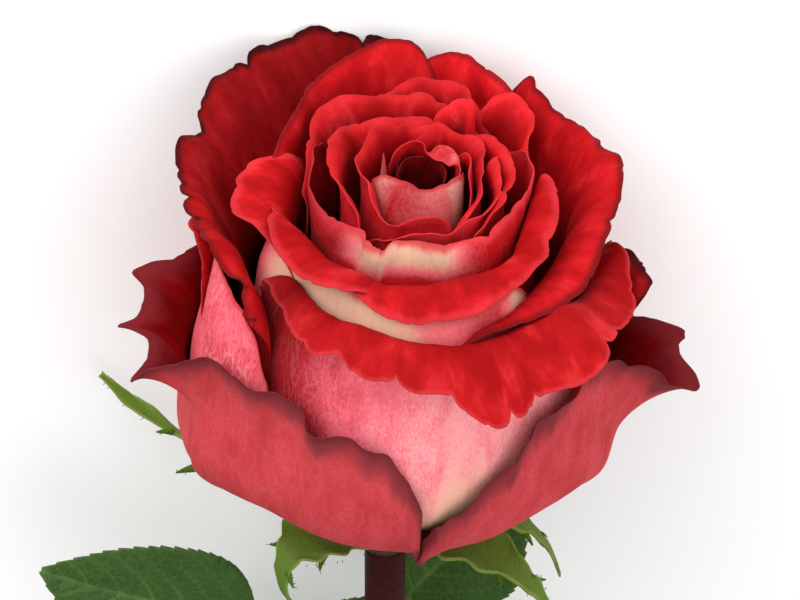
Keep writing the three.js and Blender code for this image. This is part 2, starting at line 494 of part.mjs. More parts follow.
// leaf joints as [height, azimuth]
const JOINTS = [[-78, 40], [-100, -90], [-150, 90], [-215, -90]];

function stemAt(height) {
  const knots = STEM_PATH.map((row) => -row[2]);
  const [x, y, , radius] = along(knots, STEM_PATH, slopes(knots, STEM_PATH), -height);
  return { x, y, radius };
}

// sections of a prickle as [share of its length out, drop, half height, half width]
const PRICKLE_SECTIONS = [[-0.3, 0, 3, 1.15], [0.45, -0.5, 1.6, 0.7], [1, -2.1, 0.3, 0.2]];

// one prickle: a long foot in the bark drawn out to a point that hooks toward the cut end
function makePrickle(height, azimuth, length) {
  const { x, y, radius } = stemAt(height);
  const out = vec(Math.sin(rad(azimuth)), -Math.cos(rad(azimuth)), 0);
  const side = vec(Math.cos(rad(azimuth)), Math.sin(rad(azimuth)), 0);
  return loft(PRICKLE_SECTIONS.map(([reach, drop, tall, wide]) => Array.from({ length: 5 }, (_, k) => {
    const turn = 2 * Math.PI * k / 5;
    return vec(x, y, height + drop + tall * Math.cos(turn))
      .addScaledVector(out, radius + reach * length)
      .addScaledVector(side, wide * Math.sin(turn));
  })));
}

// the small bud in the angle over a leaf
function makeBud(height, azimuth, extra) {
  const { x, y, radius } = stemAt(height);
  const out = vec(Math.sin(rad(azimuth)), -Math.cos(rad(azimuth)), 0);
  const sections = [[-1.4 - extra, 1.2], [1.4, 1.5], [4.2 + 1.5 * extra, 0.3]];
  return loft(sections.map(([up, wide]) => Array.from({ length: 5 }, (_, k) => {
    const turn = 0.4 * Math.PI * k;
    return vec(x, y, height + 5 + up)
      .addScaledVector(out, radius + 0.3)
      .addScaledVector(vec(Math.cos(turn), Math.sin(turn), 0), wide + 1.25 * extra);
  })));
}

// the bark itself, kept apart so that the leaf bases can be fitted round it
function makeBark(extra) {
  return shoot(STEM_PATH.map(([x, y, z, r]) => [x, y, z, r + extra]), 11, 15);
}

function makeStem() {
  const slant = vec(0, -CUT_SLOPE, -1).normalize();
  const parts = [makeBark(0)];
  for (const [height, azimuth] of JOINTS) parts.push(makeBud(height, azimuth, 0));
  for (const [height, azimuth, length] of PRICKLES) parts.push(makePrickle(height, azimuth, length));
  const cut = fused(parts).trimByPlane([-slant.x, -slant.y, -slant.z], STEM_LENGTH * slant.z + CUT_AT);
  return fused([cut]);
}

// Leaves

// one leaflet: oval with a drawn-out tip, a fold along the midrib, saw-toothed edges and a slight droop
function makeLeaflet({ root, run, face, length, width, droop }) {
  const forward = run.clone().normalize();
  const up = face.clone().addScaledVector(forward, -face.dot(forward)).normalize();
  const side = forward.clone().cross(up);
  const columns = 2 * LEAFLET_TEETH + 2;
  const grid = Array.from({ length: columns + 1 }, (_, i) => {
    const s = i / columns;
    const past = Math.max(0.02, (s - 0.07) / 0.93);
    const oval = Math.sin(Math.PI * past ** 0.82) ** 0.8 * (1 - 0.18 * s);
    const saw = i % 2 === 0 ? 1.07 : 0.93;
    const half = Math.max(0.45, width / 2 * oval * saw);
    return [-1, 0, 1].map((t) => {
      const lead = Math.abs(t) === 1 && i % 2 === 0 && i < columns ? 0.5 / columns : 0;
      return root.clone()
        .addScaledVector(forward, (s + lead) * length)
        .addScaledVector(side, t * half)
        .addScaledVector(up, 0.2 * half * Math.abs(t) - droop * length * s * s);
    });
  });
  return blade(grid, BLADE);
}

// one compound leaf: stalk with a pair of stipules, paired leaflets and an end leaflet
function makeLeaf({ stalk, face, pairs, end }) {
  const knots = stalk.map((_, i) => i / (stalk.length - 1));
  const tangents = slopes(knots, stalk);
  const place = (s) => vec(...along(knots, stalk, tangents, s));
  const heading = (s) => place(Math.min(1, s + 0.02)).sub(place(Math.max(0, s - 0.02))).normalize();
  const up = vec(...face).normalize();
  const parts = [shoot(stalk.map((p, i) => [...p, i === 0 ? 1.7 : 1.15 - 0.1 * i]), 5, 6)];
  const addLeaflet = (s, turn, length, width, droop) => {
    const run = heading(s).applyAxisAngle(up, rad(turn));
    const root = place(s).addScaledVector(run, -LEAFLET_TUCK);
    parts.push(makeLeaflet({ root, run, face: up, length: length + LEAFLET_TUCK, width, droop }));
  };
  for (const { at, length, width, turns, droops } of pairs) {
    addLeaflet(at, turns[0], length, width, droops[0]);
    addLeaflet(at + 0.04, turns[1], length * 0.94, width, droops[1]);
  }
  addLeaflet(1, end.turn, end.length, end.width, end.droop);
  for (const [base, turn] of [[0.03, 36], [0.055, -40]]) {
    const run = heading(0.06).applyAxisAngle(up, rad(turn));
    const across = run.clone().cross(up);
    parts.push(blade([0, 0.5, 1].map((s) => [-1, 0, 1].map((t) => place(base)
      .addScaledVector(run, STIPULE_LENGTH * s)
      .addScaledVector(across, t * (0.35 + 1.9 * Math.sin(Math.PI * (0.12 + 0.85 * s)))))), BLADE));
  }
  return fused(parts);
}

// each leaf: its stalk's middle line, the way its leaflets face, its pairs of leaflets and its end leaflet
const LEAVES = {
  leaf_1: {
    stalk: [[3, 3.2, -78], [6.5, 9, -66], [6.5, 12.2, -54], [3, 13.4, -34]],
    face: [-0.1, -0.93, 0.2],
    pairs: [{ at: 0.56, length: 22, width: 16, turns: [56, -64], droops: [0.04, 0.14] }],
    end: { length: 33, width: 27, turn: -46, droop: 0.05 },
  },
  leaf_2: {
    stalk: [[-4.2, 1, -100], [-10, 4.6, -80], [-15, 6.6, -61], [-18.6, 6, -44], [-22.2, 4.4, -32.6]],
    face: [0.05, -0.92, 0.3],
    pairs: [
      { at: 0.4, length: 24, width: 17, turns: [66, -56], droops: [0.2, 0.02] },
      { at: 0.66, length: 26, width: 18, turns: [64, -50], droops: [0.2, 0.02] },
    ],
    end: { length: 42, width: 27, turn: 42, droop: 0.12 },
  },
  leaf_3: {
    stalk: [[4.6, 0.9, -150], [20, 4, -130], [36, 7.5, -114], [52, 10, -102]],
    face: [0.1, -1, 0.1],
    pairs: [
      { at: 0.5, length: 32, width: 21, turns: [62, -62], droops: [0.16, 0.14] },
      { at: 0.76, length: 36, width: 24, turns: [58, -58], droops: [0.14, 0.12] },
    ],
    end: { length: 44, width: 29, turn: 0, droop: 0.12 },
  },
  leaf_4: {
    stalk: [[-4.8, 0.4, -215], [-21, 3, -198], [-38, 5.4, -183], [-54, 7, -170]],
    face: [-0.1, -1, 0.12],
    pairs: [
      { at: 0.49, length: 33, width: 22, turns: [61, -64], droops: [0.1, 0.11] },
      { at: 0.76, length: 37, width: 25, turns: [58, -58], droops: [0.1, 0.08] },
    ],
    end: { length: 46, width: 30, turn: 0, droop: 0.1 },
  },
};

// Laying down and naming

// the flower's frame turned so that its axis slopes down to the cut end and its back faces the table
const tilt = rad(LIE_TILT);
const laidDown = new THREE.Matrix4().makeBasis(
  vec(-1, 0, 0),
  vec(0, -Math.sin(tilt), -Math.cos(tilt)),
  vec(0, -Math.cos(tilt), Math.sin(tilt)),
).setPosition(...BASE_AT);

const group = new THREE.Group();
group.name = 'cut_rose';

function addPiece(name, body, colour, roughness) {
  const laid = fused([fused([body]).simplify(SMOOTHING).transform(laidDown.toArray())]);
  const mesh = fused([laid.trimByPlane([0, 0, 1], 0)]).getMesh();
  const geometry = new THREE.BufferGeometry();
  geometry.setAttribute('position', new THREE.BufferAttribute(new Float32Array(mesh.vertProperties), 3));
  geometry.setIndex(new THREE.BufferAttribute(new Uint32Array(mesh.triVerts), 1));
  const surface = new THREE.MeshStandardMaterial({ color: colour, roughness, metalness: 0 });
  const piece = new THREE.Mesh(geometry, surface);
  piece.name = name;
  group.add(piece);
}

const stemWithRoom = fused([
  makeBark(FIT_GAP),
  ...JOINTS.map(([height, azimuth]) => makeBud(height, azimuth, FIT_GAP)),
]);

addPiece('bloom', makeBloom(), '#b3121d', 0.6);
addPiece('calyx', makeCalyx(), '#7f9a3c', 0.6);
addPiece('stem', makeStem(), '#4b2a22', 0.5);
for (const [name, leaf] of Object.entries(LEAVES)) {
  addPiece(name, makeLeaf(leaf).subtract(stemWithRoom), '#2c5226', 0.45);
}

export default group;
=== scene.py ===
import bpy
import numpy as np
from mathutils import Matrix, Vector


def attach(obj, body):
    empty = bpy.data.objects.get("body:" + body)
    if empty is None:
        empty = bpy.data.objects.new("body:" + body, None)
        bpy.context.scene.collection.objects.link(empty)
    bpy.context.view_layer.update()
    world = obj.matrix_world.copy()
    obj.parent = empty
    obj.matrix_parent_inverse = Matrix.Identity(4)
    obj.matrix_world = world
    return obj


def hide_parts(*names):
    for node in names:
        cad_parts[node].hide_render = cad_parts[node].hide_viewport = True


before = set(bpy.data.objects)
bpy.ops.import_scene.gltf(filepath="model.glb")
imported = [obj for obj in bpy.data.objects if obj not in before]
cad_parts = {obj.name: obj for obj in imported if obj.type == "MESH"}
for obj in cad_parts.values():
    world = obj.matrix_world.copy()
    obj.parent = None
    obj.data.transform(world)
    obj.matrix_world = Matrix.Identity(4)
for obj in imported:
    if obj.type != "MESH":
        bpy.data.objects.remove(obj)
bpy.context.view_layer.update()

# The lay of the rose
# A cut rose with no vase lies down: on its back petals and on the cut end of its stem, with the flower's
# axis sloping down to that end. Pieces are worked out upright, in millimetres round that axis with z up
# from the top of the hip, x to the right and y to the back, and are then laid down in metres.
LIE_TILT = np.radians(5.4)
BASE_AT = np.array([-1, -113, 31.8])
AXIS_LEAN = np.array([0.09, 0.03])
UP = np.array([0, 0, 1])
LYING_AXES = np.array([
    [-1, 0, 0],
    [0, -np.sin(LIE_TILT), -np.cos(LIE_TILT)],
    [0, -np.cos(LIE_TILT), np.sin(LIE_TILT)],
])


def laid(points):
    """Upright millimetres to metres on the table: the base's place plus x, y and z along the lying axes."""
    return (BASE_AT + np.asarray(points) @ LYING_AXES) / 1000


# The camera
# A portrait lens looks at the bloom from above its front, 38 degrees above the flower's own waist line.
# Laid down, the rose is seen from over the table, with its stem running to the bottom of the picture.
PICTURE_WIDTH = 800
MM_PER_PIXEL = 0.165
CAMERA_RISE = np.radians(38)
CAMERA_DISTANCE = 730
SENSOR = 36
NEAREST_SEEN = 0.05
AIM_RIGHT, AIM_UP = 1.65, 32.3

view_back = np.array([0, -np.cos(CAMERA_RISE), np.sin(CAMERA_RISE)])
view_up = np.array([0, np.sin(CAMERA_RISE), np.cos(CAMERA_RISE)])
view_right = np.array([1, 0, 0])
aim = AIM_RIGHT * view_right + AIM_UP * view_up


def set_object(name, data, right, up, back, place):
    """Puts a camera or light at an upright place, with its own x, y and z along right, up and back."""
    thing = bpy.data.objects.new(name, data)
    bpy.context.collection.objects.link(thing)
    turn = Matrix([np.asarray(axis) @ LYING_AXES for axis in (right, up, back)]).transposed()
    thing.matrix_world = Matrix.Translation(Vector(laid(place))) @ turn.to_4x4()
    return thing


lens = bpy.data.cameras.new("camera")
lens.sensor_width = SENSOR
lens.lens = CAMERA_DISTANCE / (PICTURE_WIDTH * MM_PER_PIXEL) * SENSOR
lens.clip_start = NEAREST_SEEN
lens.dof.use_dof = False
camera = set_object("camera", lens, view_right, view_up, view_back, aim + CAMERA_DISTANCE * view_back)
bpy.context.scene.camera = camera

# The floor and the light
# A plain pale table top under two broad soft lamps, the stronger above and to the left of the camera and
# a weaker one at its right, in an even white room.
FLOOR_HALF = 1.5
FLOOR_LOOK = {"Base Color": (0.93, 0.93, 0.93), "Roughness": 0.9}
KEY_LAMP = {"back": 560, "up": 330, "right": -330, "width": 700, "watts": 5.4}
FILL_LAMP = {"back": 620, "up": -170, "right": 380, "width": 900, "watts": 3.4}
ROOM_LIGHT = {"Color": (1, 1, 1), "Strength": 0.66}


def set_inputs(node, values):
    """Plain values on a node's sockets. A colour is given as red, green and blue."""
    for socket, value in values.items():
        is_colour = node.inputs[socket].type == "RGBA"
        node.inputs[socket].default_value = (*value, 1) if is_colour else value


def open_material(name):
    """A new material with its node tree and its surface node."""
    material = bpy.data.materials.new(name)
    material.use_nodes = True
    return material, material.node_tree, material.node_tree.nodes["Principled BSDF"]


def lamp(name, back, up, right, width, watts):
    """A square soft lamp of that width, that many millimetres back, up and right of the bloom's middle as
    the camera sees it, and turned to it."""
    glow = bpy.data.lights.new(name, "AREA")
    glow.size = width / 1000
    glow.energy = watts
    away = back * view_back + up * view_up + right * view_right
    behind = away / np.linalg.norm(away)
    level = np.cross(view_up, behind)
    level /= np.linalg.norm(level)
    set_object(name, glow, level, np.cross(behind, level), behind, aim + away)


floor_mesh = bpy.data.meshes.new("floor")
corners = FLOOR_HALF * np.array([[-1, -1, 0], [1, -1, 0], [1, 1, 0], [-1, 1, 0]])
floor_mesh.from_pydata(corners.tolist(), [], [[0, 1, 2, 3]])
floor = bpy.data.objects.new("floor", floor_mesh)
bpy.context.collection.objects.link(floor)
floor_paint, _, floor_surface = open_material("pale floor")
set_inputs(floor_surface, FLOOR_LOOK)
floor_mesh.materials.append(floor_paint)
lamp("key lamp", **KEY_LAMP)
lamp("fill lamp", **FILL_LAMP)
room = bpy.data.worlds.new("room")
room.use_nodes = True
set_inputs(room.node_tree.nodes["Background"], ROOM_LIGHT)
bpy.context.scene.world = room
bpy.context.scene.view_settings.view_transform = "Standard"

# Heart petals
# The five smallest petals stand rolled round the flower's middle like a loose cigar. Each is a thin
# living blade, velvety inside and mealy pink on its back, grown from a narrow claw on the hip's rim.

# A petal is [name, claw radius and height, belly as a share of the neck's radius and its height, neck
# radius at the first and last station and its depth under the rim, and the rim's stations]. A station
# is [azimuth, radius, height, lean of the edge from upright, and now and then its own neck and depth];
# azimuth 0 is the front, 90 the right and 180 the back, heights and radii are millimetres.
HEART_PETALS = [
    ["spike", [1, 5], [0.9, 32], [7, 7, 8], [
        [-120, 6.6, 62, 0], [-103, 6.8, 67, -5], [-90, 6.6, 62, 0],
    ]],
    ["heart_inner", [0.6, 5], [0.85, 32], [3.2, 4.6, 7], [
        [96, 2.8, 60, 0], [108, 3.3, 63, -10], [135, 3.6, 63.8, -20], [160, 4, 64, -25],
        [190, 4.6, 64.2, -25], [215, 5, 64.2, -20], [236, 5.2, 63.6, -5], [248, 5.2, 60.6, 0],
    ]],
    ["heart_back", [0.8, 5], [0.85, 32], [4.6, 5.2, 8], [
        [60, 4.2, 61, 0], [78, 4.6, 64.6, 0], [98, 4.6, 65.6, -20], [112, 3.8, 64.8, -110, 5, -0.6],
        [128, 3.4, 64.6, -130, 5.3, -1.6], [146, 3.3, 64.8, -130, 5.4, -1.8],
        [162, 3.4, 65, -120, 5.4, -1.4], [173, 4, 65.6, -80, 5.3, 0], [182, 5, 66.8, -30, 5.2, 4],
        [200, 5.5, 67, -20], [228, 5.9, 65.8, 0], [246, 6.3, 63.6, 5],
    ]],
    ["heart_front", [1.4, 5], [0.9, 34], [8.2, 6.4, 8], [
        [-110, 8.2, 60, 0], [-92, 8.2, 63.4, 5], [-76, 6.2, 65, -20], [-50, 4.6, 64.6, -35, 8],
        [-18, 3.3, 64, -45, 8.2], [15, 3.2, 64, -45, 8], [45, 3.8, 64.8, -40, 7.2], [70, 4.9, 65, -20],
        [98, 6, 64, 0],
    ]],
    ["heart_right", [1.4, 4.5], [0.9, 34], [7.8, 7.8, 8], [
        [138, 6.8, 63.5, 0], [118, 6.9, 66, -10], [94, 6.9, 65, -15], [60, 7.4, 61, -10],
    ]],
]

# How a petal's blade is built. Lengths are millimetres. A row nearer the rim is closer to the next by the
# power ROWS_TO_RIM, and the blade's azimuths open from a share at the claw to all of it higher up.
BLADE_THICKNESS = 0.42
BLADE_EDGE = 1.2
EDGE_THINNING = 0.6
BELLY_FALL = 0.4
CLAW_SPREAD = 0.6
SPREAD_RATE = 1.6
SHORTEST_STEP = 0.5
ROWS_TO_RIM = 1.35
TONE_SPREAD = 0.15
MAP_UNIT = 100

# How far clear of the table the back petals stay, and how softly it stops them.
CLEAR_OF_TABLE = 0.3
TABLE_SOFTNESS = 0.5

# A rolled rim: size and rate of the waves in which its curl comes and goes, the power by which the curl
# sets in, and the depth over which the blade is shifted to keep its place.
CURL_WAVES = [[0.25, 9], [0.2, 23]]
CURL_EASE = 1.3
CURL_SHIFT_DEPTH = 16

# The waves of a living petal: height with no ruffle and what the ruffle adds, longest and shortest
# wavelength, how many are summed, how far they twist up the blade, and the depth they die out over.
WAVES = {
    "broad": [0, 1, 24, 11, 3, 0.3, 6],
    "short": [0, 0.35, 9, 5, 3, 0.3, 2.6],
    "long": [0.15, 0.25, 34, 16, 3, 0.4, 22],
    "crease": [0.09, 0, 7, 3, 4, 0.2, 9],
    "uneven": [0, 0.3, 18, 8, 3, 0, 5],
}
BIG_LOBES, SMALL_LOBES, LOBE_DEPTH = 6.5, 2.9, 1.8

# A petal's usual habits, which each ring of petals and each petal may change.
USUAL_HABIT = {"ruffle": 0.5, "tone": 0, "netted": 0.2, "weathered": 0}


def hermite(s, step, first, first_slope, last, last_slope):
    """Cubic from a first value to a last one with their slopes, at the share s of the step between."""
    return ((2 * s**3 - 3 * s**2 + 1) * first + (s**3 - 2 * s**2 + s) * step * first_slope
            + (3 * s**2 - 2 * s**3) * last + (s**3 - s**2) * step * last_slope)


def smooth_curve(knots, rows, where):
    """Cubic curve through rows of values at rising knots. The slope at an inner knot is the mean of the
    slopes of its two chords, each weighted by the other's length."""
    knots, rows = np.asarray(knots, float), np.asarray(rows, float)
    step = np.diff(knots)
    rise = np.diff(rows, axis=0) / step[:, None]
    slope = np.empty_like(rows)
    slope[1:-1] = (rise[:-1] * step[1:, None] + rise[1:] * step[:-1, None]) / (step[:-1] + step[1:])[:, None]
    slope[0] = 1.5 * rise[0] - 0.5 * slope[1]
    slope[-1] = 1.5 * rise[-1] - 0.5 * slope[-2]
    k = np.clip(np.searchsorted(knots, where, side="right") - 1, 0, len(step) - 1)
    s = ((where - knots[k]) / step[k])[:, None]
    return hermite(s, step[k][:, None], rows[k], slope[k], rows[k + 1], slope[k + 1])


def unit(vectors):
    """Each vector divided by its length."""
    return vectors / np.maximum(np.linalg.norm(vectors, axis=-1, keepdims=True), 1e-9)


def lengths(points):
    """Distance from each point of a row of points to the next."""
    return np.linalg.norm(np.diff(points, axis=0), axis=-1)


def rising(petal):
    """The same petal with its stations in order of rising azimuth."""
    name, claw, belly, neck, stations = petal
    if stations[0][0] < stations[-1][0]:
        return petal
    return [name, claw, belly, [neck[1], neck[0], neck[2]], stations[::-1]]


def rim_reach(stations):
    """Length along the rim, in millimetres, from the first station to each of them."""
    turn, radius, height = np.array([row[:3] for row in stations], float).T * [[np.pi / 180], [1], [1]]
    rim = np.stack([radius * np.sin(turn), -radius * np.cos(turn), height], 1)
    return np.concatenate([[0], np.cumsum(np.maximum(lengths(rim), SHORTEST_STEP))])


def petal_sheet(petal, columns, heights):
    """The petal's middle surface. Round the bloom the rim's values follow a smooth curve over the rim's
    length. Up each meridian a cubic, with knots at the square roots of its chords, climbs from the claw
    by way of belly and neck to the rim and ends at the station's lean. The azimuths close up toward the
    middle one as the blade narrows to its claw."""
    _, claw, belly, neck, stations = petal
    reach = rim_reach(stations)
    rows = []
    for row, share in zip(stations, reach / reach[-1]):
        own_neck = row[4] if len(row) > 4 else neck[0] + (neck[1] - neck[0]) * share
        own_depth = row[5] if len(row) > 5 else neck[2]
        rows.append(row[:4] + [own_neck, own_depth])
    azimuth, radius, height, lean, neck_radius, depth = smooth_curve(
        reach, rows, np.linspace(0, reach[-1], columns)).T
    fall = np.minimum(height / max(row[2] for row in stations), 1)
    course = np.empty((columns, 4, 2))
    course[:, 0] = claw
    course[:, 1] = np.stack([neck_radius * belly[0] * fall**BELLY_FALL, belly[1] * fall], 1)
    course[:, 2] = np.stack([neck_radius, height - depth], 1)
    course[:, 3] = np.stack([radius, height], 1)
    chord = np.linalg.norm(np.diff(course, axis=1), axis=2)
    step = np.sqrt(chord)[:, :, None]
    rise = np.diff(course, axis=1) / step
    slope = np.empty_like(course)
    slope[:, 1:3] = (rise[:, :2] * step[:, 1:] + rise[:, 1:] * step[:, :2]) / (step[:, :2] + step[:, 1:])
    slope[:, 0] = 1.5 * rise[:, 0] - 0.5 * slope[:, 1]
    slope[:, 3] = np.stack([np.sin(np.radians(lean)), np.cos(np.radians(lean))], 1) * step[:, 2]
    marks = np.concatenate([[0], np.cumsum(chord.mean(0))])
    marks /= marks[-1]
    part = np.clip(np.searchsorted(marks, heights, side="right") - 1, 0, 2)
    s = ((heights - marks[part]) / (marks[part + 1] - marks[part]))[None, :, None]
    flat = hermite(s, step[:, part], course[:, part], slope[:, part], course[:, part + 1], slope[:, part + 1])
    middle = (stations[0][0] + stations[-1][0]) / 2
    spread = CLAW_SPREAD + (1 - CLAW_SPREAD) * np.minimum(1, SPREAD_RATE * heights)
    turn = np.radians(middle + (azimuth - middle)[:, None] * spread)
    out, up = flat[:, :, 0], flat[:, :, 1]
    return np.stack([AXIS_LEAN[0] * up + out * np.sin(turn), AXIS_LEAN[1] * up - out * np.cos(turn), up], 2)


def to_rim(sheet):
    """Length up the meridian from each point of a sheet to its rim."""
    piece = np.linalg.norm(np.diff(sheet, axis=1), axis=2)
    under = np.cumsum(piece[:, ::-1], axis=1)[:, ::-1]
    return np.concatenate([under, np.zeros((len(sheet), 1))], axis=1)


def reach_of(points):
    """The crest's height and the greatest distance from the leaning axis, for each meridian of a sheet."""
    flat = points[:, :, :2] - AXIS_LEAN * points[:, :, 2:]
    return np.stack([np.linalg.norm(flat, axis=2).max(1), points[:, :, 2].max(1)], 1)


def curled(sheet, degrees, width, draw):
    """The last stretch under the rim, of the given width, rolls outward: each step up the meridian is
    turned about the rim's own direction by an angle that grows to the full curl at the edge. The curl
    comes and goes along the rim in two slow waves. The upper blade is then shifted until the roll lies
    as high and as far out as the flat margin did."""
    along = unit(np.gradient(sheet, axis=0))[:, :-1]
    steps = np.diff(sheet, axis=1)
    near = np.clip(1 - to_rim(sheet)[:, 1:] / width, 0, 1)
    places = np.linspace(0, 1, len(sheet))[:, None]
    phases = draw.uniform(0, 2 * np.pi, 2)
    come = 1 + sum(size * np.sin(rate * places + phase) for (size, rate), phase in zip(CURL_WAVES, phases))
    angle = (np.radians(degrees)[:, None] * come * near**CURL_EASE)[:, :, None]
    turned = (steps * np.cos(angle) + np.cross(along, steps) * np.sin(angle)
              + along * np.sum(along * steps, axis=2, keepdims=True) * (1 - np.cos(angle)))
    rolled = np.concatenate([sheet[:, :1], sheet[:, :1] + np.cumsum(turned, axis=1)], axis=1)
    short = reach_of(sheet) - reach_of(rolled)
    outward = unit(sheet[:, -1, :2] - AXIS_LEAN * sheet[:, -1, 2:])
    shift = np.concatenate([outward * short[:, :1], short[:, 1:]], axis=1)
    share = np.clip(1 - to_rim(sheet) / CURL_SHIFT_DEPTH, 0, 1)
    return rolled + (share**2 * (3 - 2 * share))[:, :, None] * shift[:, None]


def ruffled(sheet, ruffle, fray, draw):
    """Waves on a living petal, along its normal: short ruffles that die out some millimetres under the
    rim and long shallow folds that run up the blade. The rim line itself goes up and down in uneven
    round lobes with a sharp notch between them, each the square of one less a sine's height. Lengths
    are taken along the rim, with drawn wavelengths and phases."""
    length = np.concatenate([[0], np.cumsum(lengths(sheet[:, -1]))])[:, None]
    below = to_rim(sheet)
    along = unit(np.gradient(sheet, axis=0))
    up = unit(np.gradient(sheet, axis=1))
    normal = unit(np.cross(along, up))

    def waves(longest, shortest, count, twist=0):
        total = np.zeros_like(below)
        for wavelength in draw.uniform(shortest, longest, count):
            bend = draw.uniform(-twist, twist)
            total += np.sin(2 * np.pi * (length + bend * below) / wavelength + draw.uniform(0, 2 * np.pi))
        return total / np.sqrt(count)

    def lobes(size):
        drift = 0.35 * size * np.sin(2 * np.pi * length / (4.3 * size) + draw.uniform(0, 6))
        height = np.abs(np.sin(np.pi * (length + drift) / size + draw.uniform(0, 3)))
        return -((1 - height) ** 2) * np.clip(0.6 + waves(5 * size, 2 * size, 2), 0, 1.6)

    def faded(kind):
        still, added, longest, shortest, count, twist, depth = WAVES[kind]
        return (still + added * ruffle) * waves(longest, shortest, count, twist) * np.exp(-below / depth)

    ruffle, fray = ruffle[:, None], fray[:, None]
    outward = faded("broad") + faded("short") + faded("long") + faded("crease")
    upward = faded("uneven")
    notches = lobes(BIG_LOBES) + 0.5 * lobes(SMALL_LOBES)
    upward = upward + fray * notches * np.exp(-below / LOBE_DEPTH)
    return sheet + outward[:, :, None] * normal + upward[:, :, None] * up


def pressed(points):
    """Nothing goes through the table: how far back a point lies is held under the table's own distance
    by a soft maximum, so that the back petals flatten where they lie on it."""
    x, y, z = np.moveaxis(points, -1, 0)
    limit = (BASE_AT[2] - CLEAR_OF_TABLE + z * np.sin(LIE_TILT)) / np.cos(LIE_TILT)
    room_left = limit - y
    y = limit - 0.5 * (room_left + np.sqrt(room_left**2 + TABLE_SOFTNESS))
    return np.stack([x, y, z], -1)


def blade_of(sheet, thickness, edge):
    """A closed blade round a sheet: the sheet moved half the thickness each way along its normal, thinner
    within an edge width of the border, and joined round the border. Returns its points, its faces, the
    share that lies on the back (0 front, 1 back), the distance from the border and the two map lengths."""
    columns, rows = sheet.shape[:2]
    along = np.gradient(sheet, axis=0)
    up = np.gradient(sheet, axis=1)
    outward = unit(np.cross(along, up))
    below = to_rim(sheet)
    start = np.concatenate([np.zeros((1, rows)), np.cumsum(lengths(sheet), axis=0)])
    border = np.minimum(below, np.minimum(start, start[-1] - start))
    half = 0.5 * thickness * (1 - EDGE_THINNING * np.exp(-border / edge))[:, :, None]
    points = np.stack([sheet - outward * half, sheet + outward * half]).reshape(-1, 3)
    index = np.arange(2 * columns * rows).reshape(2, columns, rows)
    inner, outer = index

    def quads(a, b, c, d):
        return np.stack([a, b, c, d], -1).reshape(-1, 4)

    faces = np.concatenate([
        quads(inner[:-1, :-1], inner[:-1, 1:], inner[1:, 1:], inner[1:, :-1]),
        quads(outer[:-1, :-1], outer[1:, :-1], outer[1:, 1:], outer[:-1, 1:]),
        quads(inner[:-1, -1], outer[:-1, -1], outer[1:, -1], inner[1:, -1]),
        quads(inner[1:, 0], outer[1:, 0], outer[:-1, 0], inner[:-1, 0]),
        quads(inner[0, :-1], outer[0, :-1], outer[0, 1:], inner[0, 1:]),
        quads(inner[-1, 1:], outer[-1, 1:], outer[-1, :-1], inner[-1, :-1]),
    ])
    back = np.repeat([0.0, 1.0], columns * rows)
    lengthwise = np.broadcast_to(start[:, -1:] - start[-1, -1] / 2, (columns, rows))
    upward = below.max() - below
    maps = np.tile(np.stack([lengthwise, upward], -1).reshape(-1, 2), (2, 1))
    return points, faces, back, np.tile(border.ravel(), 2), maps


def blade_part(points, faces, maps, **paint):
    """A closed skin with its map and its painted values, ready to be joined to others in a piece."""
    return {"points": points, "faces": faces, "map": maps, "paint": paint}


def build_piece(name, blades, material, nodes):
    """One object from many blade parts: everything is put end to end, smoothed, given its map and its
    painted values, and laid down at the origin."""
    offset, points, faces = 0, [], []
    for blade in blades:
        points.append(blade["points"])
        faces.append(blade["faces"] + offset)
        offset += len(blade["points"])
    points = laid(np.concatenate(points))
    points[:, 2] = np.maximum(points[:, 2], 0)
    faces = np.concatenate(faces)
    mesh = bpy.data.meshes.new(name)
    mesh.vertices.add(len(points))
    mesh.vertices.foreach_set("co", points.ravel())
    mesh.loops.add(faces.size)
    mesh.loops.foreach_set("vertex_index", faces.ravel())
    mesh.polygons.add(len(faces))
    mesh.polygons.foreach_set("loop_start", np.arange(len(faces)) * 4)
    mesh.polygons.foreach_set("loop_total", np.full(len(faces), 4))
    mesh.update(calc_edges=True)
    mesh.polygons.foreach_set("use_smooth", np.ones(len(faces), bool))
    layer = mesh.uv_layers.new(name="blade_map")
    maps = np.concatenate([blade["map"] for blade in blades]) / MAP_UNIT
    layer.data.foreach_set("uv", maps[faces.ravel()].ravel())
    for paint in blades[0]["paint"]:
        values = np.concatenate([blade["paint"][paint] for blade in blades])
        mesh.attributes.new(paint, "FLOAT", "POINT").data.foreach_set("value", values)
    mesh.materials.append(material)
    mesh.validate()
    piece = bpy.data.objects.new(name, mesh)
    bpy.context.collection.objects.link(piece)
    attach(piece, "root")
    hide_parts(*nodes)


def along_rim(value, petal, columns):
    """A habit at each column of a petal: one number, or pairs of azimuth and number along its rim."""
    pairs = np.atleast_2d(value).astype(float)
    if pairs.shape[1] == 1:
        return np.full(columns, pairs[0, 0])
    reach = rim_reach(petal[4])
    azimuth = np.interp(np.linspace(0, reach[-1], columns), reach, [row[0] for row in petal[4]])
    return np.interp(azimuth, pairs[:, 0], pairs[:, 1])


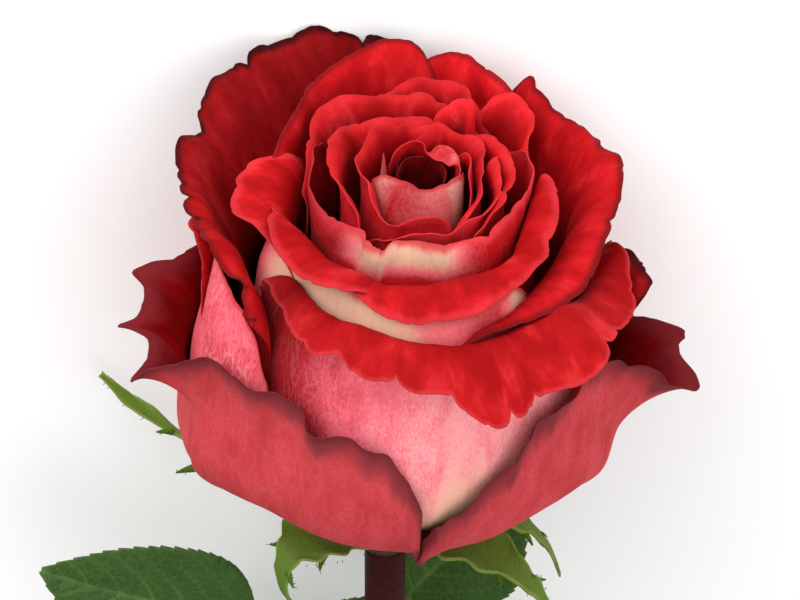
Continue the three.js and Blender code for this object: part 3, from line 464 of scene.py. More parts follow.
def make_petals(name, petals, habits, usual, lowest, material, seed):
    """The petals of one ring as one object. A habit is a dict: curl in degrees and its width, ruffle and
    fray in millimetres, tone from dark -1 to bright 1, mostly painted light and shade on the petal and
    partly its own darker or brighter red, netted, how much its veins show, weathered, how dark its border
    has dried, flush, how red the back is at the rim, and redder, the two depths under the rim between
    which the back turns fully red as painted red shade in the crevices. Petals start at the share of
    their height where their neighbours hide them."""
    draw = np.random.default_rng(seed)
    blades = []
    for petal in map(rising, petals):
        habit = {**USUAL_HABIT, **usual, **habits.get(petal[0], {})}
        columns = int(rim_reach(petal[4])[-1] / habit["grain"]) + 8
        rows = habit["rows"]
        heights = lowest + (1 - lowest) * (1 - (1 - np.linspace(0, 1, rows))**ROWS_TO_RIM)
        sheet = petal_sheet(petal, columns, heights)
        curl, ruffle, fray, tone, weathered = [
            along_rim(habit[key], petal, columns) for key in ("curl", "ruffle", "fray", "tone", "weathered")]
        sheet = curled(sheet, curl, habit["curl_width"], draw)
        sheet = pressed(ruffled(sheet, ruffle, fray, draw))
        points, faces, back, border, maps = blade_of(sheet, BLADE_THICKNESS, BLADE_EDGE)
        depth = to_rim(sheet)
        # Painted shade: deeper under the rim the back turns red, as red light bounced in the crevices colours
        # it.
        first, last = habit["redder"]
        deeper_in_shade = np.clip((depth - first) / (last - first), 0, 1)
        flush = np.maximum(along_rim(habit["flush"], petal, columns)[:, None], deeper_in_shade**1.5)
        tone = np.repeat(tone + draw.uniform(-TONE_SPREAD, TONE_SPREAD), rows)
        blades.append(blade_part(
            points, faces, maps + draw.uniform(0, 400, 2),
            back=back,
            border=border,
            depth=np.tile(depth.ravel(), 2),
            flush=np.tile(flush.ravel(), 2),
            petal_tone=np.tile(tone, 2),
            netted=np.full(len(points), float(habit["netted"])),
            weathered=np.tile(np.repeat(weathered, rows), 2),
        ))
    build_piece(name, blades, material, ["bloom"])


def add_node(tree, kind, inputs=(), **settings):
    """A shader node with its settings; inputs are pairs of socket name or number and value or socket."""
    made = tree.nodes.new(kind)
    for key, value in settings.items():
        setattr(made, key, value)
    for key, value in dict(inputs).items():
        if isinstance(value, bpy.types.NodeSocket):
            tree.links.new(value, made.inputs[key])
        else:
            made.inputs[key].default_value = value
    return made


def maths(tree, operation, *values):
    """The result of one step of arithmetic on numbers or sockets."""
    return add_node(tree, "ShaderNodeMath", enumerate(values), operation=operation).outputs[0]


def blended(tree, factor, first, second, way="MIX"):
    """The first colour with the second over it by a factor. A colour is a socket or red, green, blue."""
    first, second = [(*colour, 1) if isinstance(colour, tuple) else colour for colour in (first, second)]
    made = add_node(tree, "ShaderNodeMix", {0: factor, 6: first, 7: second}, data_type="RGBA", blend_type=way)
    return made.outputs[2]


def painted(tree, name):
    """A painted value of the mesh."""
    return add_node(tree, "ShaderNodeAttribute", attribute_name=name).outputs["Fac"]


def ranged(tree, value, low, high, start=0.0, end=1.0):
    """A value's smooth step between low and high, given as start to end."""
    made = add_node(tree, "ShaderNodeMapRange", {0: value, 1: low, 2: high, 3: start, 4: end})
    made.interpolation_type = "SMOOTHSTEP"
    return made.outputs[0]


def noise(tree, where, scale, detail, roughness=0.5):
    """A noise texture over a map."""
    return add_node(tree, "ShaderNodeTexNoise", {
        "Vector": where, "Scale": scale, "Detail": detail, "Roughness": roughness})


def squeezed(tree, where, share):
    """A map whose way up the blade counts only for a share, so that what is on it is drawn out."""
    return add_node(tree, "ShaderNodeMapping", {"Vector": where, "Scale": (1, share, 1)}).outputs[0]


def start_group(name, sizes, outputs):
    """An empty shader node group that takes a map and named sizes and gives named values, with its
    incoming sockets and its output node."""
    tree = bpy.data.node_groups.new(name, "ShaderNodeTree")
    tree.interface.new_socket("Map", in_out="INPUT", socket_type="NodeSocketVector")
    for socket in sizes:
        tree.interface.new_socket(socket, in_out="INPUT", socket_type="NodeSocketFloat")
    for socket in outputs:
        tree.interface.new_socket(socket, in_out="OUTPUT", socket_type="NodeSocketFloat")
    return tree, tree.nodes.new("NodeGroupInput").outputs, tree.nodes.new("NodeGroupOutput")


def give(tree, group_out, values):
    """Joins a group's results to its output sockets."""
    for socket, value in values.items():
        tree.links.new(value, group_out.inputs[socket])


def use_group(tree, group, sizes):
    """The outputs of a node group on the blade's own map."""
    where = add_node(tree, "ShaderNodeUVMap", uv_map="blade_map")
    return add_node(tree, "ShaderNodeGroup", {"Map": where.outputs[0], **sizes}, node_tree=group).outputs


def finish_surface(tree, surface, colour, height, strength, distance):
    """Joins a colour and a bump of some height, in metres, to the surface."""
    bump = add_node(tree, "ShaderNodeBump", {"Height": height, "Strength": strength, "Distance": distance})
    tree.links.new(colour, surface.inputs["Base Color"])
    tree.links.new(bump.outputs[0], surface.inputs["Normal"])


# petal skin: a net of fine veins drawn out up the blade, soft clouds, long streaks, a mealy grain and
# their height
petal_skin, skin_in, skin_out = start_group(
    "petal skin", ["Vein Spacing", "Grain Size"], ["Veins", "Grain", "Mottle", "Streaks", "Height"])
waver = noise(petal_skin, skin_in["Map"], 24, 2)
wander = add_node(petal_skin, "ShaderNodeVectorMath", {
    0: waver.outputs["Color"], 1: (0.05, 0.05, 0), 2: skin_in["Map"]}, operation="MULTIPLY_ADD").outputs[0]
net_scale = maths(petal_skin, "DIVIDE", MAP_UNIT, skin_in["Vein Spacing"])
vein_net = add_node(
    petal_skin, "ShaderNodeTexVoronoi", {"Vector": squeezed(petal_skin, wander, 0.26), "Scale": net_scale},
    feature="DISTANCE_TO_EDGE", voronoi_dimensions="2D")
patches = noise(petal_skin, skin_in["Map"], 13, 2).outputs[0]
vein = maths(petal_skin, "MULTIPLY", ranged(petal_skin, vein_net.outputs["Distance"], 0.0, 0.13, 1.0, 0.0),
             ranged(petal_skin, patches, 0.3, 0.65))
clouded = squeezed(petal_skin, skin_in["Map"], 0.65)
mottle = noise(petal_skin, clouded, 15, 6, 0.62).outputs[0]
grain_scale = maths(petal_skin, "DIVIDE", MAP_UNIT, skin_in["Grain Size"])
grain = noise(petal_skin, clouded, grain_scale, 2, 0.7).outputs[0]
streaks = noise(petal_skin, squeezed(petal_skin, wander, 0.11), 46, 4, 0.6).outputs[0]
relief = maths(petal_skin, "MULTIPLY_ADD", vein, 0.5, maths(petal_skin, "MULTIPLY", grain, 0.5))
relief = maths(petal_skin, "MULTIPLY_ADD", streaks, 1.1, relief)
give(petal_skin, skin_out, {
    "Veins": vein, "Grain": grain, "Mottle": mottle, "Streaks": streaks, "Height": relief})


WEATHERED = (0.055, 0.003, 0.005)
PETAL_GRAIN = 0.5
PALE_OVER = 16
PETAL_BUMP = {"strength": 0.25, "distance": 0.0002}
PETAL_SURFACE = {
    "Roughness": 0.68,
    "Specular IOR Level": 0.05,
    "Sheen Weight": 0.02,
    "Sheen Roughness": 0.4,
    "Sheen Tint": (1, 0.3, 0.3),
    "Subsurface Weight": 0.06,
    "Subsurface Radius": (1.0, 0.25, 0.2),
    "Subsurface Scale": 0.0012,
}


def varied(tree, value, by, amount):
    """A value raised or lowered, by up to half an amount, where a noise is over or under its middle."""
    return maths(tree, "MULTIPLY_ADD", maths(tree, "SUBTRACT", by, 0.5), amount, value)


def velvet_front(tree, skin, colours, shade_depth):
    """Red velvet darkened by painted shade down to the shade depth, with lighter and darker clouds and
    dark streaks.
    """
    # Painted shade: the velvet darkens from half a millimetre under the rim down to the shade depth.
    deeper_in_shade = ranged(tree, painted(tree, "depth"), 0.5, shade_depth)
    front = blended(tree, deeper_in_shade, colours["velvet"], colours["velvet_shade"])
    light_clouds = ranged(tree, skin["Mottle"], 0.30, 0.48, 0.6, 0.0)
    front = blended(tree, light_clouds, front, colours["velvet_light"])
    dark_clouds = ranged(tree, skin["Mottle"], 0.40, 0.64, 0.0, 0.7)
    front = blended(tree, dark_clouds, front, colours["velvet_dark"])
    dark_streaks = ranged(tree, skin["Streaks"], 0.46, 0.70, 0.0, 0.25)
    return blended(tree, dark_streaks, front, colours["velvet_dark"])


def mealy_back(tree, skin, colours):
    """Cream by way of pink to red with the painted flush, which deep under the rim also carries painted red
    shade, broken by clouds and mealy grain, pale toward the claw, with a net of veins."""
    flush = painted(tree, "flush")
    redder = varied(tree, flush, skin["Mottle"], colours["speckle"])
    redder = varied(tree, redder, skin["Grain"], colours["speckle"])
    rear = blended(tree, ranged(tree, redder, 0.0, 0.45), colours["cream"], colours["pink"])
    rear = blended(tree, ranged(tree, redder, 0.35, 0.95), rear, colours["rear"])
    shaded = maths(tree, "MULTIPLY", flush, ranged(tree, skin["Mottle"], 0.42, 0.7, 0.0, 0.35))
    rear = blended(tree, shaded, rear, colours["rear_dark"])
    depth = painted(tree, "depth")
    claw_end = ranged(tree, depth, colours["pale_from"], colours["pale_from"] + PALE_OVER, 0.0, 0.85)
    rear = blended(tree, claw_end, rear, colours["claw"])
    net = maths(tree, "MULTIPLY", skin["Veins"], painted(tree, "netted"))
    return blended(tree, net, rear, colours["vein"])


def petal_velvet(name, colours, margin_width, shade_depth):
    """Living petal, from painted values: the velvet front and the mealy back meet in a margin within some
    millimetres of the border, and painted shade darkens the velvet down to the shade depth. A weathered
    border dries to maroon, and a hair-fine line runs round both faces: a lighter painted highlight on the
    red velvets, a dark dried edge on the big and guard petals. The painted tone, mostly painted light and
    shade, makes the petal darker or brighter."""
    material, tree, surface = open_material(name)
    skin = use_group(tree, petal_skin, {"Vein Spacing": colours["vein_spacing"], "Grain Size": PETAL_GRAIN})
    border = painted(tree, "border")
    ragged = varied(tree, border, skin["Mottle"], 2.5 * margin_width)
    on_margin = ranged(tree, ragged, 0.35 * margin_width, 1.6 * margin_width, 0.9, 0.0)
    front = velvet_front(tree, skin, colours, shade_depth)
    shown_margin = maths(tree, "MULTIPLY", on_margin, colours["margin_shows"])
    front = blended(tree, shown_margin, front, colours["margin"])
    rear = blended(tree, on_margin, mealy_back(tree, skin, colours), colours["margin"])
    colour = blended(tree, painted(tree, "back"), front, rear)
    near_border = ranged(tree, varied(tree, border, skin["Mottle"], 6.0), 0.1, 1.9, 0.95, 0.0)
    dried = maths(tree, "MULTIPLY", painted(tree, "weathered"), near_border)
    colour = blended(tree, dried, colour, WEATHERED)
    # On the red velvets the hair-fine border line is a lighter painted highlight on the rounded edge; on the
    # big and guard petals it is a dark dried edge.
    colour = blended(tree, ranged(tree, border, 0.0, 0.3, 0.15, 0.0), colour, colours["line"])
    # Painted light and shade: the tone makes each petal darker or brighter.
    light = maths(tree, "MULTIPLY_ADD", painted(tree, "petal_tone"), 0.4, 1.0)
    lit = add_node(tree, "ShaderNodeCombineXYZ", {0: light, 1: light, 2: light}).outputs[0]
    colour = blended(tree, 1.0, colour, lit, "MULTIPLY")
    finish_surface(tree, surface, colour, skin["Height"], **PETAL_BUMP)
    set_inputs(surface, PETAL_SURFACE)
    return material


RED_VELVET = {
    "velvet": (0.48, 0.007, 0.010),
    "velvet_light": (0.62, 0.030, 0.036),
    # The colour reached at the shade depth is painted shade deep in the bloom.
    "velvet_shade": (0.24, 0.001, 0.002),
    "velvet_dark": (0.24, 0.001, 0.002),
    "cream": (0.66, 0.39, 0.27),
    "pink": (0.78, 0.15, 0.17),
    "rear": (0.48, 0.010, 0.014),
    "rear_dark": (0.24, 0.002, 0.003),
    "vein": (0.62, 0.10, 0.11),
    "margin": (0.58, 0.035, 0.045),
    "margin_shows": 0.0,
    "vein_spacing": 2.6,
    "speckle": 0.7,
    "claw": (0.78, 0.52, 0.36),
    "pale_from": 60,
    "line": (0.60, 0.05, 0.06),
}
# The heart's velvet goes almost to black within three millimetres of the rim: painted shade in the hollow.
heart_velvet = petal_velvet(
    "heart velvet", {**RED_VELVET, "cream": (0.72, 0.30, 0.25), "pink": (0.64, 0.12, 0.12),
                     "velvet_shade": (0.02, 0.0, 0.001)}, 0.6, 3)
make_petals(
    "heart_petals", HEART_PETALS,
    {
        # The dark tones, darkest on heart_inner, are painted shade in the hollow of the heart.
        "heart_front": {"flush": [[-110, 1], [-92, 0.7], [-80, 0.15], [-66, 0.3], [-50, 0.75], [0, 0.4],
                                  [40, 0.35], [55, 0.0], [80, 0.3], [98, 0.9]],
                        "curl": -25, "redder": [3, 10], "fray": 0.3, "ruffle": 0.4, "tone": -0.75},
        "heart_back": {"flush": [[60, 0.9], [110, 0.5], [128, 0.8], [160, 0.85], [180, 0.9]], "ruffle": 0.5,
                       "curl": 0, "fray": 0.3, "tone": -0.3},
        "heart_inner": {"ruffle": 0.5, "tone": -1.8},
        "spike": {"flush": 0.6, "tone": -0.8},
    },
    {"curl": 10, "curl_width": 2, "fray": 0.35, "flush": 0.8, "redder": [3, 12], "netted": 0.1, "grain": 0.45,
     "rows": 36},
    0.45, heart_velvet, 11)

# Ring petals
# Rings of taller petals spiral round the heart, each tucked behind the last. They are the same red
# velvet on both faces, and their free rims fold back a little into bright pointed lips.
RING_PETALS = [
    ["ring_left_1", [2, 4], [0.92, 34], [10.6, 9, 9], [
        [-200, 10.4, 63.5, 0], [-186, 10.9, 66, 10], [-161, 11.8, 66, 15], [-142, 13, 66, 20],
        [-126, 12.4, 65.4, 15], [-108, 11.3, 65, 5], [-90, 10, 64, 0], [-66, 9.3, 63, -10],
        [-38, 9.2, 62, -15], [-5, 8.6, 62, -20], [20, 8.4, 61.2, -20], [34, 8, 58, -20],
    ]],
    ["ring_right_1", [2.2, 4], [0.92, 35], [9, 10.2, 9], [
        [190, 9, 63, 10], [178, 9.6, 66.4, 25], [156, 11.2, 66.4, 45], [125, 10.7, 66, 30],
        [106, 9.6, 65, 5], [77, 9.4, 64, -5], [52, 9.6, 63, -5], [26, 9.6, 62, -10],
        [10, 9.9, 58.6, -10],
    ]],
    ["ring_left_2", [2.5, 4], [0.95, 34], [12.6, 13, 10], [
        [-196, 12.6, 62.6, 5], [-184, 13.2, 65.5, 20], [-162, 14.4, 65.5, 25], [-148, 15.6, 65.6, 40],
        [-132, 18.2, 65, 50], [-114, 16.8, 65, 35], [-98, 15, 65, 15], [-84, 13.4, 63.6, 5],
        [-66, 12.8, 61.6, 0], [-48, 12.9, 58, 0],
    ]],
    ["ring_front_2", [2.7, 3.5], [0.95, 34], [11.6, 11.8, 9], [
        [122, 11.2, 61.6, 5], [106, 11.3, 65, 5], [80, 11, 64, 5], [56, 10.9, 63, 0], [39, 11, 62, -5],
        [16, 11, 61.2, -8], [-12, 10.9, 61.2, -8], [-38, 11.2, 59.8, -5], [-52, 11.3, 56.6, 0],
    ]],
    ["ring_right_2", [3, 3.5], [0.95, 35], [12.9, 13.2, 9], [
        [152, 12.9, 62, 5], [138, 13.4, 65, 35], [120, 13.9, 65, 60], [102, 14.3, 64.2, 50],
        [87, 14.1, 64, 35], [68, 13.6, 63, 15], [50, 13.4, 61.6, 5], [36, 13.1, 58, 0],
    ]],
    ["ring_back_corner", [3.4, 3.5], [0.96, 35], [14.3, 14, 8], [
        [180, 14.4, 62.4, 5], [168, 15.6, 66, 50], [155, 17.6, 66.6, 75], [147, 15.4, 65, 40],
        [134, 14.5, 61.6, 5],
    ]],
    ["ring_back_3", [3.5, 3.5], [0.97, 34], [18.6, 15.8, 10], [
        [-102, 19.4, 57.6, 5], [-113, 20.6, 62, 20], [-124, 22.4, 64, 40], [-137, 24.2, 65.3, 50],
        [-152, 20.9, 66, 30], [-168, 20.1, 66, 28], [-184, 18.4, 66, 28], [-194, 17.4, 65, 20],
        [-206, 16.6, 61.6, 5],
    ]],
    ["ring_back_4", [3.8, 3.5], [0.97, 34], [19.4, 18.4, 10], [
        [-150, 22, 61.6, 10], [-168, 22.6, 65.6, 20], [-180, 23.3, 66.2, 28], [-193, 23, 66, 28],
        [-203, 20.8, 64.5, 20], [-215, 18.8, 60.4, 5],
    ]],
    ["lobe_right", [3.9, 3.5], [0.98, 34], [20, 18.2, 10], [
        [162, 21.2, 59.6, 10], [150, 22.4, 64.2, 35], [142, 24.2, 66, 55], [134, 23.4, 65, 45],
        [127, 20.8, 64, 25], [120, 19.4, 61.6, 10], [113, 18.8, 57, 5],
    ]],
]
# The ring petals' velvet darkens to near black eight millimetres under the rim: painted shade.
ring_velvet = petal_velvet(
    "ring velvet", {**RED_VELVET, "velvet_shade": (0.08, 0.001, 0.002), "margin_shows": 0.4,
                    "margin": (0.58, 0.026, 0.032)}, 1.4, 8)
make_petals(
    "ring_petals", RING_PETALS,
    {
        "ring_back_corner": {"tone": 0.4, "curl": 45},
        "lobe_right": {"flush": 0.8, "curl": 45, "tone": 0.3},
    },
    {"curl": 50, "curl_width": 3.4, "ruffle": 0.7, "fray": 0.45, "flush": 0.95, "redder": [2, 8],
     "netted": 0.1, "grain": 0.6, "rows": 40},
    0.4, ring_velvet, 12)

# Front petals
# Broad petals wrap the front of the rings in steps. Where the sun has not reached them their backs stay
# cream under a red margin, and the margin of the foremost folds inward into a scalloped lip.
FRONT_PETALS = [
    ["front_1", [4.1, 3], [1, 33], [17, 18, 9], [
        [132, 17.4, 60, 5, 17], [118, 18, 63, 15, 16.6], [103, 17.6, 63, 15, 16.2],
        [87, 16.2, 62, 0, 15.8], [72, 14.9, 61, -15, 15.4], [56, 13.9, 60.6, -35, 15, 6],
        [33, 13.2, 60, -55, 14.8, 5], [14, 12.3, 60, -60, 14.6, 5], [-4, 12, 60, -65, 14.6, 5],
        [-21, 13.2, 60, -60, 14.8, 5], [-28, 15, 59.5, -35, 15, 5], [-44, 13.7, 61, -60, 15.4, 5],
        [-58, 15.2, 61, -50, 15.8, 6], [-71, 17, 61, -20, 16.4], [-86, 17.6, 61.4, 5, 16.6],
        [-102, 18, 63, 10, 16.8], [-116, 19.2, 64, 20, 17], [-128, 19.4, 61.6, 10, 17],
    ]],
    ["ring_left_4", [4.4, 3], [1, 32], [20.4, 18, 8], [
        [-98, 22.4, 54.6, 10, 21, 8], [-89, 23.4, 58.8, 30, 20.6, 6], [-78, 25, 59.6, 65, 19.8, 4],
        [-66, 25.6, 59, 82, 18.8, 2.4], [-54, 25.8, 58.4, 88, 18.2, 2], [-44, 25.4, 58, 90, 18, 1.6],
        [-34, 24.6, 57.8, 88, 17.8, 1.6], [-25, 23, 57, 75, 17.6, 2], [-16, 20.4, 54, 30, 17.6, 5],
    ]],
    ["lip_right", [4.5, 3], [1, 32], [18.6, 17.4, 7], [
        [115, 20.6, 55, 5, 20.2], [107, 20, 60, 25, 19.6], [102, 19.4, 61.8, 60, 18.6, 3],
        [95, 20.8, 61.2, 85, 17.6, 2], [84, 21.2, 60.8, 90, 17.4, 1.5], [74, 21.6, 60, 88, 17.2, 2],
        [65, 22, 59.4, 85, 17.2, 2], [58, 23.2, 58.6, 88, 17.4, 2], [46, 23.6, 58, 90, 17.4, 2],
        [33, 24.4, 57.4, 95, 17.4, 1], [20, 25.8, 56.4, 100, 17.4, 0], [8, 26.2, 55.8, 105, 17.6, -0.6],
        [-6, 25.6, 55.8, 105, 17.8, -0.6], [-17, 24.4, 56, 100, 18, 0], [-28, 22.6, 56.4, 85, 18.2, 1],
        [-38, 20.4, 54, 40, 18.4, 4],
    ]],
    ["lip_left", [4.9, 3], [1, 31], [22, 22, 3], [
        [-128, 23.6, 57, 10, 22, 7], [-116, 24.6, 60.6, 50, 21.6], [-107, 28.6, 60.6, 80, 21.2],
        [-96, 30, 60, 88, 21.2], [-84, 30, 59.4, 88, 21.8], [-78, 27.2, 58.6, 80, 22.2],
        [-69, 25, 57.6, 55, 22.6, 4], [-57, 23.4, 54, 20, 22.4, 7],
    ]],
    ["front_2", [4.8, 3], [0.95, 31], [25.2, 21.2, 7], [
        [-92, 24, 53, 5, 25, 7], [-80, 22.8, 56.4, -20, 24.8, 6], [-66, 21.8, 56.8, -45, 24, 5],
        [-50, 20.8, 56.6, -55, 23, 5], [-33, 20.2, 56, -60, 22.4, 4.6],
        [-16, 20.4, 55.4, -60, 23.4, 4.4], [0, 21.2, 55, -60, 24.6, 4.4],
        [14, 21.8, 55, -60, 25.2, 4.4], [28, 21.6, 55, -50, 24.6, 5], [42, 21.2, 54.6, -30, 23.6, 6],
        [54, 21.4, 50.6, 5, 22.6, 8],
    ]],
]
front_velvet = petal_velvet("front velvet", {**RED_VELVET, "speckle": 0.4, "margin_shows": 0.5}, 1.2, 14)
make_petals(
    "front_petals", FRONT_PETALS,
    {
        # front_1's dark tone and its back turning red just under the cream band are painted shade in the
        # crevice below its lip.
        "front_1": {"flush": [[-80, 1], [-58, 0.8], [-46, 0.4], [-34, 0.05], [-20, -0.2], [6, -0.2],
                              [20, 0.2], [32, 0.7], [44, 0.95]],
                    "tone": [[-80, -1], [-50, -0.7], [-26, -0.5], [10, -0.5], [44, 0]],
                    "curl": -20, "redder": [2.6, 6.5], "fray": 0.6},
        "ring_left_4": {"flush": 0.9},
        "front_2": {"flush": [[-92, 0.8], [-74, 0.3], [-62, -0.2], [-14, -0.1], [4, 0.35], [30, 0.8],
                              [40, 0.0], [54, 0.1]],
                    "curl": -10, "redder": [8, 16], "fray": 0.4},
        "lip_right": {"flush": 0.6, "curl": 15},
        "lip_left": {"flush": 0.6, "curl": 15},
    },
    {"curl": 12, "curl_width": 3, "ruffle": 0.4, "fray": 0.4, "flush": 0.7, "redder": [6, 14], "grain": 0.6,
     "rows": 46},
    0.3, front_velvet, 13)

# Big petals
# The largest petals stand round the back and sides as a cup and roll their rims outward. The weather
# has darkened their edges to maroon. Their fronts are the brightest velvet of the bloom: painted shade
# darkens them only slowly down from the rim, and the two back petals carry painted light.
BIG_PETALS = [
    ["back_left_5", [5.1, 3], [1, 31], [24.6, 26, 11], [
        [-104, 25.6, 57, 10], [-116, 26, 63, 20], [-131, 27, 65, 25], [-143, 29.6, 66.2, 35],
        [-161, 31.8, 67, 38], [-175, 32.4, 68, 40], [-180, 29.4, 66, 25], [-187, 27, 59, 10],
    ]],
    ["back_right_5", [5.3, 3], [1, 31], [28.6, 25.6, 11], [
        [194, 30.4, 56, 10], [184, 31.4, 61.6, 20], [178, 30.4, 65.6, 25], [171, 30.6, 67, 30],
        [160, 28, 66.4, 25], [149, 26.9, 64, 20], [138, 26, 58, 5],
    ]],
    ["big_left", [5.4, 2.5], [1.02, 29], [30, 27.6, 13], [
        [-186, 32.4, 56, 10], [-172, 34.6, 65.6, 30], [-160, 39.4, 67, 36], [-150, 41.4, 67, 40],
        [-138, 41.6, 66.6, 42], [-130, 42.4, 65.2, 46], [-121, 42, 63, 48], [-113, 40.6, 61.6, 48],
        [-105, 41, 60.4, 50], [-94, 37.6, 58, 48], [-81, 35.4, 57, 55, 28, 9],
        [-72, 32.8, 55.4, 60, 27.8, 6], [-63, 32.6, 54, 70, 27.4, 4], [-57, 29, 46, 20, 27, 6],
    ]],
    ["big_right", [5.6, 2.5], [1.02, 29], [27.6, 25, 10], [
        [166, 31, 55, 5, 29.6], [153, 29.6, 61.6, 20, 28.4], [147, 31.4, 64.4, 20, 27.6],
        [143, 30.4, 62.4, 26, 27.4], [136, 30.8, 61, 35, 27.4], [124, 33.4, 60, 42],
        [111, 33.2, 59.2, 48, 26, 9], [97, 32, 58.6, 55, 24.6, 6.6], [88, 30.4, 58, 60, 23.8, 5.6],
        [80, 29.9, 57, 66, 23.2, 4.2], [70, 29.6, 55.6, 72, 22.6, 2.8], [58, 29.4, 54.2, 78, 22.4, 1.6],
        [46, 28.6, 53.4, 80, 23.2, 1], [32, 27.6, 53, 80, 24.8, 0.8], [20, 27.4, 52.8, 70, 25.4, 1.4],
        [9, 26.6, 49, 30, 25.4, 5],
    ]],
    ["tip_right", [5.7, 2.5], [0.98, 27], [30.6, 30, 10], [
        [108, 32.4, 43, 5], [96, 33.6, 48, 20], [87, 35.4, 49.6, 45], [81, 36.4, 49.6, 55],
        [77.5, 37.8, 49.6, 70], [74, 36.4, 46.6, 50], [69, 33.8, 42, 25], [62, 31.4, 34, 0],
    ]],
]
big_velvet = petal_velvet(
    "big velvet",
    {**RED_VELVET, "margin": (0.09, 0.004, 0.006), "margin_shows": 0.75, "line": (0.20, 0.02, 0.02)},
    0.9, 30)
make_petals(
    "big_petals", BIG_PETALS,
    {
        # The bright tones of the two back petals are painted light; big_left's dark tone is partly its own
        # older red and partly painted shade on a face turned from the light.
        "back_left_5": {"curl": 30, "tone": 0.2, "fray": 0.3},
        "back_right_5": {"curl": 30, "tone": 0.6, "fray": 0.3},
        "big_left": {"tone": [[-186, -1.25], [-104, -1.05], [-84, -0.3], [-57, 0]],
                     "weathered": [[-186, 1], [-112, 1], [-92, 0.4], [-78, 0]], "fray": 1.2, "ruffle": 0.9,
                     "curl": [[-186, 15], [-135, 20], [-112, 60], [-57, 80]]},
        "big_right": {"weathered": 0.25, "curl": [[9, 10], [40, 15], [90, 50], [135, 60], [150, 20]],
                      "ruffle": [[9, 0.15], [60, 0.3], [100, 0.8]], "fray": [[9, 0.1], [50, 0.3], [90, 0.8]]},
        "tip_right": {"curl": 40, "curl_width": 2, "tone": -0.8, "weathered": 1},
    },
    {"curl": 80, "curl_width": 4.5, "ruffle": 0.7, "fray": 0.8, "flush": 0.9, "redder": [6, 16], "grain": 0.7,
     "rows": 50},
    0.06, big_velvet, 14)

# Outer front petals
# One wide petal folds over the front of the bloom with its pink back to the light, and two narrow ones
# stand beside it at the left. Their backs are netted with fine darker veins and pale toward the claw.
OUTER_FRONT_PETALS = [
    ["front_3", [5.7, 2.5], [1.09, 21], [26.4, 30, 0], [
        [-74, 25.8, 45, 10, 25.6, 8], [-64, 27.4, 52.6, 45, 25, 4], [-56, 29.6, 55.4, 85, 24.6, 1.6],
        [-46, 30.6, 54.2, 105, 24.4, 0.4], [-37, 31.8, 52.4, 120, 24.4, -0.6],
        [-30, 33, 51.4, 125, 24.6, -1.2], [-24, 31.6, 51.6, 120, 24.8, -1],
        [-16, 34.2, 50.6, 125, 25.2, -1.6], [-7, 34.8, 50.2, 125, 26, -2],
        [2, 36, 49.4, 125, 26.8, -2.6], [7, 35.8, 49, 125, 27.2, -3], [12, 38, 47, 128, 27.4, -4.6],
        [17, 40.4, 45.2, 128, 27.4, -6.2], [26, 39.6, 46, 125, 27, -5.4], [31, 38, 47, 122, 26.8, -4.4],
        [38, 40, 47.6, 118, 26.6, -4], [46, 40.2, 49.2, 110, 26.8, -2.6], [52, 38.2, 50, 104, 27.2, -2],
        [58, 37, 49.2, 100, 27.6, -1.6], [64, 37, 48.8, 94, 28, -1], [70, 36.2, 49.4, 86, 28.2, -0.2],
        [77, 34.8, 50.4, 75, 28.4, 1.4], [84, 32.8, 52, 60, 28.6, 3], [90, 30.8, 52, 35, 28.6, 6],
        [98, 29.4, 47, 5, 28.8, 8],
    ]],
    ["left_veined", [5.8, 2.5], [1.02, 24], [30.6, 27, 10], [
        [-132, 31, 44, 5], [-106, 32, 51, 5, 32.4], [-84, 31.6, 51.4, 2, 33, 11],
        [-76, 31.4, 50.8, 6, 33, 11], [-67, 30.8, 48.6, 8, 32.4], [-60, 29.6, 45, 10, 31],
        [-54, 28.8, 41, 5, 29.4], [-50, 28, 34, 0, 28.4], [-45, 27.6, 24, 0, 27.6],
    ]],
    ["small_left", [6, 2.5], [1.01, 24], [33.2, 33.2, 10], [
        [-132, 34.4, 43, 5], [-114, 36, 49.6, 15], [-102, 36.4, 51.4, 20], [-94, 36.6, 52.2, 25],
        [-90, 34.8, 50, 12], [-87, 33.8, 43, 0],
    ]],
]
# The backs' cream and pink are painted brighter than elsewhere: painted light on the back of front_3, which
# its lip and the guards shade.
outer_velvet = petal_velvet(
    "outer front velvet",
    {**RED_VELVET, "velvet": (0.44, 0.008, 0.010), "rear": (0.56, 0.018, 0.026),
     "pink": (0.88, 0.15, 0.20), "cream": (0.92, 0.38, 0.38), "vein": (0.92, 0.42, 0.42),
     "margin": (0.56, 0.04, 0.05), "margin_shows": 0.5, "vein_spacing": 1.7,
     "claw": (0.84, 0.56, 0.34), "pale_from": 34},
    0.6, 26)
make_petals(
    "outer_front_petals", OUTER_FRONT_PETALS,
    {
        # At front_3's left end the full red flush and dark tone are painted shade in the narrow crevice
        # beside the left petals.
        "front_3": {"flush": [[-72, 1.0], [-45, 0.9], [-25, 0.5], [-5, 0.3], [15, 0.15], [72, 0.3]],
                    "tone": [[-72, -1.3], [-48, -1.0], [-36, -0.3], [-28, 0]], "curl": 0, "fray": 1.0},
        "left_veined": {"flush": 0.62, "netted": 0.35, "curl": 5, "redder": [3, 30]},
        "small_left": {"flush": 0.9, "curl": 70, "tone": -0.4},
    },
    {"curl": 25, "curl_width": 4, "fray": 0.5, "flush": 0.6, "redder": [60, 90], "netted": 0.15,
     "grain": 0.65, "rows": 60},
    0.04, outer_velvet, 15)

